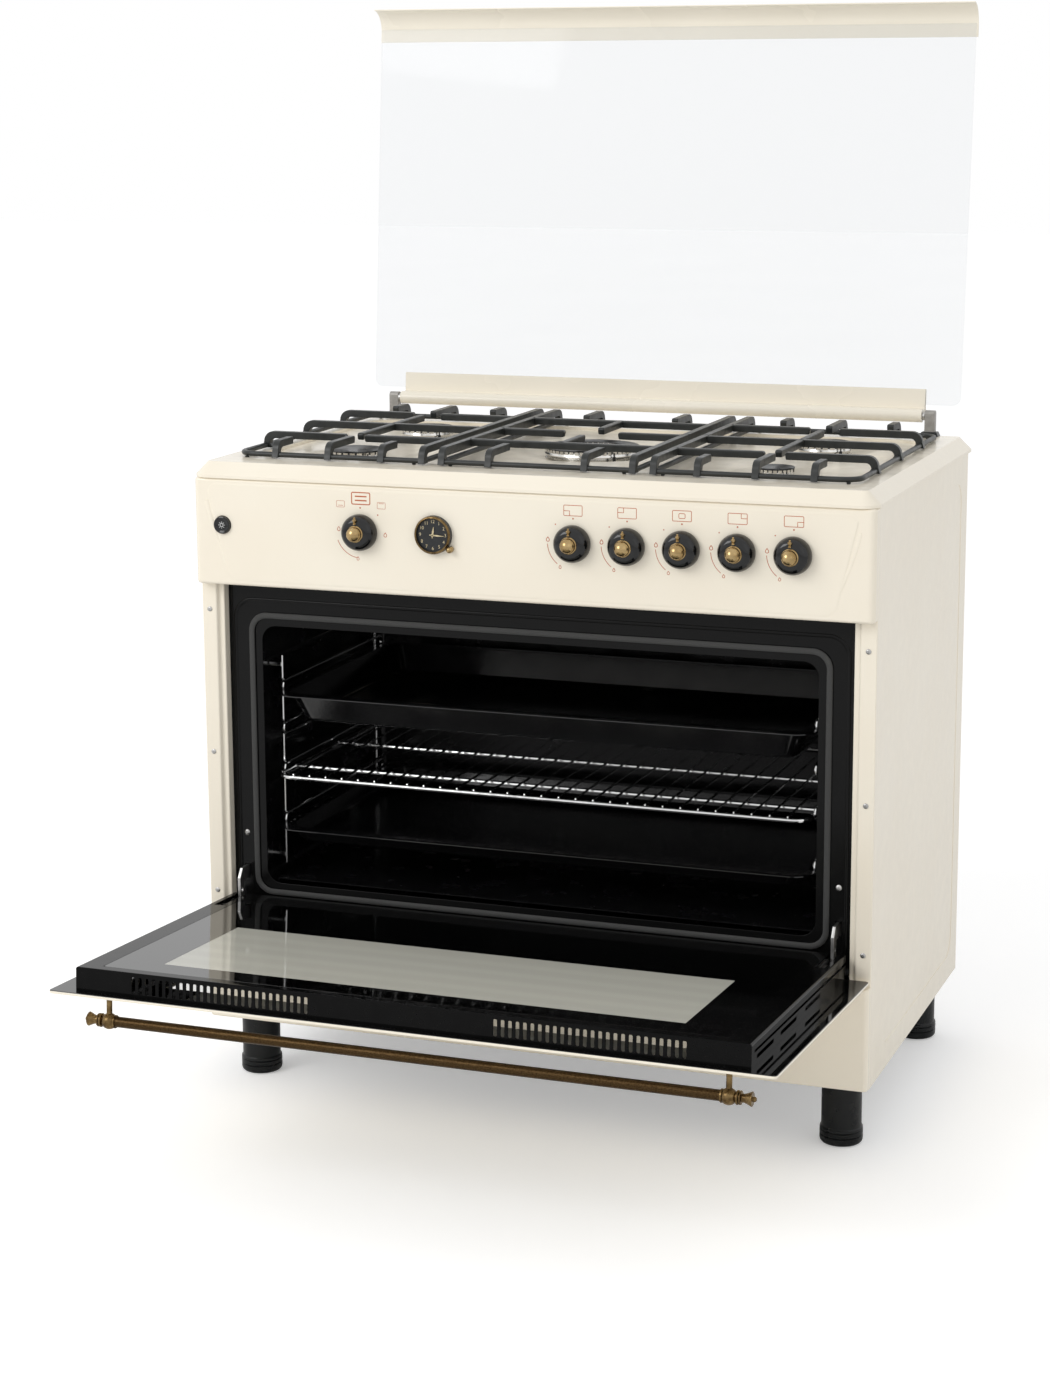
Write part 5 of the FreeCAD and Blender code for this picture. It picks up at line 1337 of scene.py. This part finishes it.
def mixColour(look, share, first, second):
    node = look.node_tree.nodes.new("ShaderNodeMix")
    node.data_type = "RGBA"
    for socket, value in ((node.inputs[6], first), (node.inputs[7], second)):
        if isinstance(value, tuple):
            socket.default_value = value
        else:
            look.node_tree.links.new(value, socket)
    look.node_tree.links.new(share, node.inputs["Factor"])
    return node.outputs[2]


def makeInnerGlassLook():
    look = newLook("innerDoorGlass", paint(12, 12, 12), 0.05, specular=0.75)
    link = look.node_tree.links.new
    inside = addWindowMask(look, door["windowHalf"], door["windowLow"], door["windowTop"])
    dots = addNode(look, "ShaderNodeTexVoronoi", Scale=420.0, Randomness=0.0)
    link(spotsOf(look), dots.inputs["Vector"])
    dotted = addRamp(look, dots.outputs["Distance"], [(0.28, paint(224, 223, 212)),
                                                      (0.36, paint(210, 209, 198))])
    link(mixColour(look, inside, paint(6, 6, 6), dotted), shaderOf(look).inputs["Base Color"])
    link(mapRange(look, inside, 1.0, 0.8), shaderOf(look).inputs["Alpha"])
    roughen(look, 8, 0.03, 0.07)
    return look


def makeOuterGlassLook():
    look = newLook("outerDoorGlass", paint(9, 9, 9), 0.05, specular=0.5)
    link = look.node_tree.links.new
    inside = addWindowMask(look, door["windowHalf"], door["windowLow"], door["windowTop"])
    printed = mottle(look, 9, paint(8, 8, 8), paint(11, 11, 11))
    link(mixColour(look, inside, printed, paint(120, 120, 114)), shaderOf(look).inputs["Base Color"])
    link(mapRange(look, inside, 1.0, 0.2), shaderOf(look).inputs["Alpha"])
    roughen(look, 8, 0.03, 0.07)
    return look


def makeOuterFaceLook():
    look = newLook("creamDoorGlass", paint(*enamel["light"]), 0.06, specular=0.6)
    link = look.node_tree.links.new
    inside = addWindowMask(look, door["windowHalf"], door["windowLow"], door["windowTop"])
    cream = mottle(look, 9, paint(*enamel["dark"]), paint(*enamel["light"]))
    link(mixColour(look, inside, cream, paint(60, 60, 58)), shaderOf(look).inputs["Base Color"])
    link(mapRange(look, inside, 1.0, 0.2), shaderOf(look).inputs["Alpha"])
    roughen(look, 8, 0.04, 0.08)
    return look


def makeDoorGlasses():
    own = door
    pane = addBox("doorOuterGlass", (-own["half"], -own["face"], own["low"]),
                  (own["half"], own["glass"] - own["face"], own["top"]))
    roundEdges(pane, 1, 5, 6)
    soften(pane, 0.8, 3, 50)
    pane.data.materials.append(makeOuterGlassLook())
    pane.data.materials.append(makeOuterFaceLook())
    openMesh(pane, "FACE")
    choose(pane, "FACE", lambda spot, way: spot.y < own["glass"] - own["face"] - 0.9)
    pane.active_material_index = 1
    bpy.ops.object.material_slot_assign()
    closeMesh()
    finish(seatDoor(pane), "door", None, ["door_outer_glass"])

    back = own["glass"] - own["face"] + own["boxDeep"]
    inner = addBox("doorInnerGlass", (-own["innerHalf"], back - 1, own["innerLow"]),
                   (own["innerHalf"], back, own["innerTop"]))
    roundEdges(inner, 1, 4, 5)
    soften(inner, 0.3, 2, 50)
    finish(seatDoor(inner), "door", makeInnerGlassLook(), ["door_inner_glass"])


def makeDoorBox():
    own = door
    front = own["glass"] - own["face"]
    back = front + own["boxDeep"]
    wall = own["wall"]
    shell = addBox("doorInnerBox", (-own["boxHalf"], front, -own["boxLow"]),
                   (own["boxHalf"], back, own["boxTop"]))
    roundEdges(shell, 2, 3, 4, lambda spot: spot.y > back - 1)
    openMesh(shell, "EDGE")
    choose(shell, "EDGE", lambda spot, way: abs(way.x) > 0.99 and spot.y > back - 1)
    bpy.ops.mesh.bevel(offset=2.4, segments=4, affect="EDGES")
    closeMesh()
    carve(shell, addBox("room", (wall - own["boxHalf"], front - 2, wall - own["boxLow"]),
                        (own["boxHalf"] - wall, back - wall, own["boxTop"] - wall)))
    window = addBox("window", (16 - own["innerHalf"], front - 5, own["innerLow"] + 16),
                    (own["innerHalf"] - 16, back + 5, own["innerTop"] - 16))
    carve(shell, window)
    carve(shell, addBox("rebate", (-own["innerHalf"] - 0.3, back - 1, own["innerLow"] - 0.3),
                        (own["innerHalf"] + 0.3, back + 2, own["innerTop"] + 0.3)))
    for x in (-own["claw"], own["claw"]):
        carve(shell, addBox("way", (x - own["slot"] / 2, -9, -own["boxLow"] - 1),
                            (x + own["slot"] / 2, 40, 70)))
    for side in (-1, 1):
        edge = side * own["boxHalf"]
        groove = addBox("groove", (edge - 2.4 if side > 0 else edge - 3, front + 16, -10),
                        (edge + 3 if side > 0 else edge + 2.4, front + 19.5, own["boxTop"] - 12))
        carve(shell, groove)
        for z in (120, 230, 330):
            slot = addBox("sideSlot", (edge - 5, front + 7, z), (edge + 5, front + 12, z + 70))
            roundEdges(slot, 0, 2.4, 5)
            carve(shell, slot)
        pitch = (own["ventOuter"] - own["ventInner"] - own["ventWide"]) / (own["vents"] - 1)
        x = side * (own["ventInner"] + own["ventWide"] / 2)
        vent = addBox("vent", (x - own["ventWide"] / 2, front + 4, own["boxTop"] - 4),
                      (x + own["ventWide"] / 2, front + 4 + own["ventTall"], own["boxTop"] + 4))
        roundEdges(vent, 2, 1.6, 3)
        repeat(vent, own["vents"], (side * pitch, 0, 0))
        carve(shell, vent)
    soften(shell, 0.35, 2, 50)
    finish(seatDoor(shell), "door", boxEnamel, ["door_inner_box"], 40)


handle = {"x": 386, "height": 397.5, "standoff": 36.3, "bar": 6.5, "ball": 10, "post": 3.9, "tip": 22}


def makeHandle():
    own = handle
    y = -door["face"] - own["standoff"]
    start = own["ball"] * 0.6 - own["x"]
    long = -start * 2
    bar = addTurned("doorHandleBar", [(0, 0), (own["bar"] - 0.3, 0), (own["bar"], 0.3),
                                      (own["bar"], long / 2), (own["bar"], long - 0.3),
                                      (own["bar"] - 0.3, long), (0, long)], 48)
    move(bar, (start, y, own["height"]), (0, 90, 0))
    finish(seatDoor(bar), "door", antiqueBronze, ["door_handle_bar"])
    ball = own["ball"]
    profile = [(0, -ball * 0.92), (own["bar"] + 1.4, -ball * 0.92), (own["bar"] + 1.6, -ball * 0.72)]
    profile += [(ball * math.cos(a),
                 ball * math.sin(a)) for a in [math.radians(-44 + 12.5 * i) for i in range(9)]]
    for reach, along in ((0.56, 0.84), (0.8, 0.92), (0.84, 0.98), (0.84, 1.1), (0.8, 1.16), (0.62, 1.2),
                         (0.78, 1.26), (0.82, 1.32),
                         (0.82, 1.42), (0.78, 1.48), (0.52, 1.56), (0.5, 1.74), (0.6, 2.1), (0.84, 2.62),
                         (0.86, 2.7), (0.8, 2.76),
                         (0.3, 2.78), (0.28, 2.84), (0.31, 2.98), (0.27, 3.1), (0.14, 3.19), (0, 3.2)):
        profile.append((ball * reach, ball + (ball * (along - 1)) * (own["tip"] / 22) if along > 1 else ball * along))
    ends = []
    for side in (-1, 1):
        end = move(addTurned("handleEnd", profile, 40), (side * own["x"], y, own["height"]),
                   (0, side * 90, 0))
        post = own["post"]
        stem = addTurned("stem", [(0, 0), (post * 0.9, 0), (post * 0.9, own["standoff"] * 0.7),
                                  (post * 1.05, own["standoff"] * 0.8),
                                  (post * 1.7, own["standoff"] - 2), (post * 1.75, own["standoff"]),
                                  (0, own["standoff"])], 32)
        move(stem, (side * own["x"], y, own["height"]), (-90, 0, 0))
        ends += [end, stem]
    finish(seatDoor(joinAll(ends, "doorHandleEnds")), "door", oldBrass, ["door_handle_posts"])


def makeHinges():
    claws = []
    y, z = doorAxis.y, doorAxis.z
    frameY = nodeBox("oven_front_frame")[1][1]
    for side in (-1, 1):
        x = side * door["claw"]
        path = [(y - 6, z - 5), (y + 6, z - 5), (y + 7, z + 35), (frameY + 0.3, z + 35),
                (frameY + 0.3, z + 29),
                (frameY + 12, z + 29), (frameY + 12, z + 53), (y + 2, z + 53), (y - 6, z + 41)]
        claw = addPlate("claw", [(x - 2, b, c) for b, c in path], (4, 0, 0))
        bpy.ops.object.select_all(action="DESELECT")
        bpy.ops.mesh.primitive_cylinder_add(vertices=32, radius=3.05, depth=20, location=(x, y, z),
                                            rotation=(0, math.pi / 2, 0))
        bore = bpy.context.active_object
        bpy.ops.mesh.primitive_cylinder_add(vertices=32, radius=2.6, depth=20, location=(x, y, z + 24),
                                            rotation=(0, math.pi / 2, 0))
        carve(claw, joinAll([bpy.context.active_object, bore], "bores"))
        soften(claw, 0.5, 2, 30)
        claws.append(claw)
    finish(joinAll(claws, "doorHingeClaws"), "cooker", zincSteel, ["door_hinge_claws"])
    bodies = []
    for side in (-1, 1):
        x = side * door["claw"]
        pin = addTurned("pin", [(0, -12), (2.7, -12), (3, -11.6), (3, 11.6), (2.7, 12), (0, 12)], 32)
        bodies.append(move(pin, (x, 0, 0), (0, 90, 0)))
        for shift in (-door["slot"] / 2 - 4, door["slot"] / 2):
            cheek = addBox("cheek", (x + shift, -8, -2), (x + shift + 4, 12, 88))
            roundEdges(cheek, 0, 5, 5)
            soften(cheek, 0.4, 2, 50)
            bodies.append(cheek)
    finish(seatDoor(joinAll(bodies, "doorHingeBodies")), "door", zincSteel, ["door_hinge_bodies"])


# knobs: a domed black skirt, a brass cap and a small turned pointer
knob = {"radius": 23.5, "deep": 20, "gap": 1.6, "cap": 11, "ball": 9.8, "bore": 3.1}


def seatFront(piece, node, level=0):
    spot = nodeMiddle(node)
    return move(piece, (spot[0], frontY + level, spot[2]), (90, 0, 0))


def makeKnobs():
    own = knob
    wide, deep, cap, low = own["radius"], own["deep"], own["cap"], own["gap"]
    skirt = [(own["bore"], deep - 4), (own["bore"], low), (wide - 1.2, low), (wide - 0.2, low + 0.6),
             (wide, low + 1.6), (wide, low + 3.4)]
    for i in range(1, 9):
        turn = math.pi / 2 * i / 8
        skirt.append((cap + 2.5 + (wide - cap - 2.5) * math.cos(turn),
                      low + 3.4 + (deep - low - 4.4) * math.sin(turn)))
    skirt += [(cap, deep - 0.6), (0, deep - 0.6)]
    skirt = [(0, deep - 4)] + skirt
    crown = [(0, deep - 0.6), (own["ball"] + 0.7, deep - 0.6), (own["ball"] + 1.1, deep),
             (own["ball"] + 0.6, deep + 0.7), (own["ball"] - 0.5, deep + 0.9)]
    for a in (-8, 4, 16, 28, 40, 52, 64, 76):
        crown.append((own["ball"] * math.cos(math.radians(a)),
                      deep + 12 - own["ball"] + own["ball"] * math.sin(math.radians(a))))
    crown += [(0, deep + 12)]
    pointer = [(0, 0), (2.0, 0), (2.3, 1), (1.3, 2), (2.1, 3.4), (3.0, 5.4), (3.0, 6.2), (1.3, 6.6),
               (1.1, 7.6), (1.5, 8.4), (0.8, 9.2), (0, 9.3)]
    skirtForm = addTurned("knobSkirt", skirt, 64)
    crownForm = addTurned("knobCrown", crown, 56)
    pointerForm = move(addTurned("pointer", pointer, 20), (0, cap + 1.2, deep - 0.2), (-90, 0, 0))
    crownForm = joinAll([crownForm, pointerForm], "knobCrown")
    for name in knobNames:
        skirtTwin = seatFront(copyOf(skirtForm, name + "Skirt"), name)
        finish(skirtTwin, name, knobBlack, [name], 30)
        crownTwin = seatFront(copyOf(crownForm, name + "Cap"), name)
        finish(crownTwin, name, antiqueBrass, [name + "_cap"], 30)
    bpy.data.objects.remove(skirtForm)
    bpy.data.objects.remove(crownForm)


# clock: a black dial in a brass rim, gilt figures and hands, and a setting knob
clock = {"figure": 6.0, "figureReach": 17.0}


def addText(words, tall, place, depth=0.05):
    bpy.ops.object.select_all(action="DESELECT")
    bpy.ops.object.text_add()
    text = bpy.context.active_object
    text.data.body = words
    text.data.size = tall
    text.data.align_x = "CENTER"
    text.data.align_y = "CENTER"
    text.data.extrude = depth
    bpy.ops.object.convert(target="MESH")
    return move(text, place)


def makeClock():
    low, high = nodeBox("clock_case")
    rim = (high[0] - low[0]) / 2
    deep = frontY - low[1]
    dial = deep - 4
    case = addTurned("clockCase", [(2.2, dial - 2), (2.2, dial), (rim - 3.6, dial),
                                   (rim - 3.2, deep - 0.6), (rim - 2.4, deep), (rim - 1.2, deep - 0.4),
                                   (rim - 0.2, deep - 2), (rim, deep - 4), (rim, 1), (rim - 1, 1),
                                   (0, 1), (0, dial - 2), (2.2, dial - 2)], 72)
    case.data.materials.append(oldBrass)
    case.data.materials.append(dialBlack)
    openMesh(case, "FACE")
    choose(case, "FACE", lambda place, way: place.xy.length < rim - 3.4 or place.xy.length > rim - 0.7)
    case.active_material_index = 1
    bpy.ops.object.material_slot_assign()
    closeMesh()
    seatFront(case, "clock_case")
    finish(case, "cooker", None, ["clock_case"])
    figures = []
    for hour in range(1, 13):
        turn = math.radians(90 - hour * 30)
        place = (clock["figureReach"] * math.cos(turn), clock["figureReach"] * math.sin(turn), dial)
        figures.append(addText(str(hour), clock["figure"], place))
    dialPrint = seatFront(joinAll(figures, "clockFigures"), "clock_case")
    finish(dialPrint, "cooker", giltPrint)
    for node, reach, wide, turn, body in (("clock_hour_hand", 10.5, 1.5, -8, "hour_hand"),
                                          ("clock_minute_hand", 15.5, 1.2, -93, "minute_hand")):
        top = frontY - nodeBox(node)[0][1]
        blade = [(-0.5, -4, top), (0.5, -4, top), (0.6, 0, top), (wide * 0.9, reach * 0.45, top),
                 (wide * 0.5, reach * 0.62, top), (0.25, reach, top),
                 (-0.25, reach, top), (-wide * 0.5, reach * 0.62, top), (-wide * 0.9, reach * 0.45, top),
                 (-0.6, 0, top)]
        hand = addPlate("hand", blade, (0, 0, -0.5))
        boss = addTurned("boss", [(0, top - 0.5), (1.9, top - 0.5), (1.9, top - 0.2), (1.4, top),
                                  (0, top)], 32)
        if node == "clock_hour_hand":
            arbor = addTurned("arbor", [(0, dial - 1.9), (1.9, dial - 1.9), (1.9, top - 0.3),
                                        (0, top - 0.3)], 32)
            boss = joinAll([boss, arbor], "boss")
        joinAll([hand, boss], node)
        move(hand, turn=(0, 0, turn))
        finish(seatFront(hand, "clock_case"), body, giltPrint, [node])
    setLow, setHigh = nodeBox("clock_set_knob")
    top = frontY - setLow[1]
    base = frontY - setHigh[1]
    ball = [(4.2 * math.cos(math.radians(t)),
             top - 4.2 + 4.2 * math.sin(math.radians(t))) for t in (-40, -20, 0, 20, 40, 60, 75)]
    setter = addTurned("setKnob", [(0, base), (2.35, base), (2.35, 2.1), (3.6, 2.1), (3.8, 2.6),
                                   (3.8, 3.8), (3.0, 4.4)] + ball + [(0, top)], 40)
    ridge = addBox("ridge", (-0.2, 3.7, 2.4), (0.2, 4.05, 3.9))
    soften(ridge, 0.08, 1)
    openMesh(ridge, "FACE")
    bpy.ops.mesh.select_all(action="SELECT")
    bpy.ops.mesh.spin(steps=24, angle=math.tau, center=(0, 0, 0), axis=(0, 0, 1), dupli=True)
    closeMesh()
    joinAll([setter, ridge], "setKnob")
    finish(seatFront(setter, "clock_set_knob"), "set_knob", antiqueBrass, ["clock_set_knob"],
           30)


# light button: a black push button in its hole, with a plain lamp mark
def makeButton():
    low, high = nodeBox("light_button")
    reach = (high[0] - low[0]) / 2
    top = frontY - low[1]
    base = frontY - high[1]
    form = addTurned("lightButton", [(0, base), (reach, base), (reach, top - 1.8),
                                     (reach - 0.6, top - 0.6), (reach - 1.8, top),
                                     (reach - 2.8, top - 0.3),
                                     (reach - 4, top - 1.2), (3, top - 1.5), (0, top - 1.5)], 64)
    finish(seatFront(form, "light_button"), "light_button", knobBlack, ["light_button"])
    sign = [addWire("bulb", [(2.1 * math.cos(a), 2.1 * math.sin(a),
                              0) for a in [math.tau * i / 16 for i in range(16)]], 0.42, True, 1)]
    for i in range(8):
        a = math.tau * i / 8
        sign.append(addWire("ray", [(3.1 * math.cos(a), 3.1 * math.sin(a), 0),
                                    (4.6 * math.cos(a), 4.6 * math.sin(a), 0)], 0.4, False, 1))
    sign = move(joinAll(sign, "lightMark"), (0, 0, top - 1.42))
    finish(seatFront(sign, "light_button"), "light_button", whitePrint)


# legs: turned posts with two grooves at the foot
leg = {"radius": 25.5, "foot": 27.5, "footTall": 22}


def makeLegs():
    low, high = nodeBox("legs")
    foot, wide, tall, top = leg["foot"], leg["radius"], leg["footTall"], high[2]
    profile = [(0, 0), (foot - 6, 0), (foot - 2.4, 1.2), (foot - 0.6, 3.2), (foot, 6), (foot, 10.4),
               (foot - 1.4, 11.2), (foot - 1.4, 12.2), (foot, 13),
               (foot, 17), (foot - 1.2, 17.8), (foot - 1.2, 18.6), (foot, 19.4),
               (foot - 0.3, tall - 0.6), (wide + 0.4, tall + 0.6), (wide, tall + 1.6),
               (wide, top - 3), (wide, top), (0, top)]
    form = addTurned("leg", profile, 56)
    spots = []
    for x in (low[0] + foot, high[0] - foot):
        for y in (low[1] + foot, high[1] - foot):
            spots.append(copyOf(form, "leg", (x, y, 0)))
    bpy.data.objects.remove(form)
    finish(joinAll(spots, "legs"), "cooker", legBlack, ["legs"])


# screws: domed heads with a cross recess
def makeScrews():
    heads = []
    for low, high in solidBoxes("panel_screws", 12):
        reach = (high[2] - low[2]) / 2
        tall = high[1] - low[1]
        head = addTurned("screw", [(0, 0), (reach, 0), (reach, tall * 0.3), (reach * 0.8, tall * 0.75),
                                   (reach * 0.45, tall * 0.96), (0, tall)], 28)
        for turn in (0, 90):
            cross = addBox("cross", (-reach * 0.55, -0.4, tall * 0.5), (reach * 0.55, 0.4, tall + 1))
            carve(head, move(cross, turn=(0, 0, turn)))
        heads.append(move(head, ((low[0] + high[0]) / 2, high[1], (low[2] + high[2]) / 2), (90, 0, 0)))
    finish(joinAll(heads, "panelScrews"), "cooker", zincSteel, ["panel_screws"])


findBurners()
makeControlPanel()
for side in (-1, 1):
    makeSidePanel(side)
makePlinth()
makeMarks()
print("panels done")
makeHob()
makeBurners()
makeSupports()
print("hob done")
makeLid()
for side in (-1, 1):
    makeLidHinge(side)
print("lid done")
makeOvenFrame()
makeOvenLiner()
makeGasketCord()
for side in (-1, 1):
    makeLadder(side)
makeTray("top_tray", False)
makeTray("lower_tray", True)
makeRack()
print("oven done")
makeDoorGlasses()
makeDoorBox()
makeHandle()
makeHinges()
print("door done")
makeKnobs()
makeClock()
makeButton()
makeLegs()
makeScrews()
print("fittings done")

# the CAD nodes that stay get their finish
keptLooks = {"back_panel": zincSteel, "base_pan": zincSteel, "oven_floor_plate": ovenEnamel,
             "oven_burner": zincSteel, "grill_burner": zincSteel,
             "grill_shield": zincSteel, "oven_lamp": makeLampLook(), "gas_manifold": zincSteel,
             "gas_taps": zincSteel, "light_switch": dialBlack}
for node, look in keptLooks.items():
    piece = frame["nodes"][node]
    piece.data.materials.clear()
    piece.data.materials.append(look)
left = sorted(set(frame["nodes"]) - set(keptLooks) - done)
print("kept nodes finished; nodes with no finish:", left)


# studio: a plain pale floor, soft lamps and a white surround
studio = {"surround": 0.75, "floor": (250, 250, 250), "key": 73, "fill": 3, "lift": 0.3}


def makeStudio():
    bpy.ops.object.select_all(action="DESELECT")
    bpy.ops.mesh.primitive_plane_add(size=40, location=(0, 0, 0))
    floor = bpy.context.active_object
    floor.name = "floor"
    look = newLook("floorPaper", paint(*studio["floor"]), 0.9, specular=0.1)
    mottle(look, 1.2, paint(249, 249, 249), paint(251, 251, 251))
    tree = look.node_tree
    path = tree.nodes.new("ShaderNodeLightPath")
    glow = tree.nodes.new("ShaderNodeMapRange")
    glow.inputs["To Min"].default_value = 0.0
    glow.inputs["To Max"].default_value = studio["lift"]
    tree.links.new(path.outputs["Is Camera Ray"], glow.inputs["Value"])
    tree.links.new(glow.outputs["Result"], shaderOf(look).inputs["Emission Strength"])
    shaderOf(look).inputs["Emission Color"].default_value = (1, 1, 1, 1)
    floor.data.materials.append(look)
    world = bpy.data.worlds.new("surround")
    bpy.context.scene.world = world
    world.use_nodes = True
    tree = world.node_tree
    background = tree.nodes["Background"]
    background.inputs["Color"].default_value = (1, 1, 1, 1)
    path = tree.nodes.new("ShaderNodeLightPath")
    seen = tree.nodes.new("ShaderNodeMath")
    seen.operation = "MAXIMUM"
    seenAll = tree.nodes.new("ShaderNodeMath")
    seenAll.operation = "MAXIMUM"
    strength = tree.nodes.new("ShaderNodeMapRange")
    strength.inputs["To Min"].default_value = studio["surround"]
    strength.inputs["To Max"].default_value = 1.0
    tree.links.new(path.outputs["Is Camera Ray"], seen.inputs[0])
    tree.links.new(path.outputs["Is Glossy Ray"], seen.inputs[1])
    tree.links.new(seen.outputs[0], seenAll.inputs[0])
    tree.links.new(path.outputs["Is Transmission Ray"], seenAll.inputs[1])
    tree.links.new(seenAll.outputs[0], strength.inputs["Value"])
    tree.links.new(strength.outputs["Result"], background.inputs["Strength"])
    for name, place, aim, size, power in (("keyLamp", (-2.6, -3.4, 3.2), (0, 0, 0.6), 2.4, studio["key"]),
                                          ("fillLamp", (2.8, -2.2, 2.4), (0, 0, 0.6), 2.2,
                                           studio["fill"])):
        bpy.ops.object.light_add(type="AREA", location=place)
        lamp = bpy.context.active_object
        lamp.name = name
        lamp.data.size = size
        lamp.data.energy = power
        lamp.rotation_euler = (Vector(aim) - Vector(place)).to_track_quat("-Z", "Y").to_euler()
    bpy.context.scene.view_settings.view_transform = "Standard"


camera = {"place": (1.2127, -3.3602, 1.33), "yaw": 20.35, "pitch": -11.395, "roll": -0.347,
          "lens": 73.09, "shift": (0.0021, -0.04)}


def makeCamera():
    bpy.ops.object.camera_add(location=camera["place"])
    eye = bpy.context.active_object
    eye.name = "camera"
    yaw, pitch = math.radians(camera["yaw"]), math.radians(camera["pitch"])
    view = Vector((-math.sin(yaw) * math.cos(pitch), math.cos(yaw) * math.cos(pitch), math.sin(pitch)))
    turn = view.to_track_quat("-Z", "Y").to_matrix()
    roll = math.radians(camera["roll"])
    right, up = turn.col[0].copy(), turn.col[1].copy()
    turn.col[0] = right * math.cos(roll) + up * math.sin(roll)
    turn.col[1] = up * math.cos(roll) - right * math.sin(roll)
    eye.rotation_euler = turn.to_euler()
    eye.data.lens = camera["lens"]
    eye.data.sensor_width = 36
    eye.data.sensor_fit = "AUTO"
    eye.data.shift_x, eye.data.shift_y = camera["shift"]
    eye.data.clip_end = 60
    bpy.context.scene.camera = eye


makeStudio()
makeCamera()
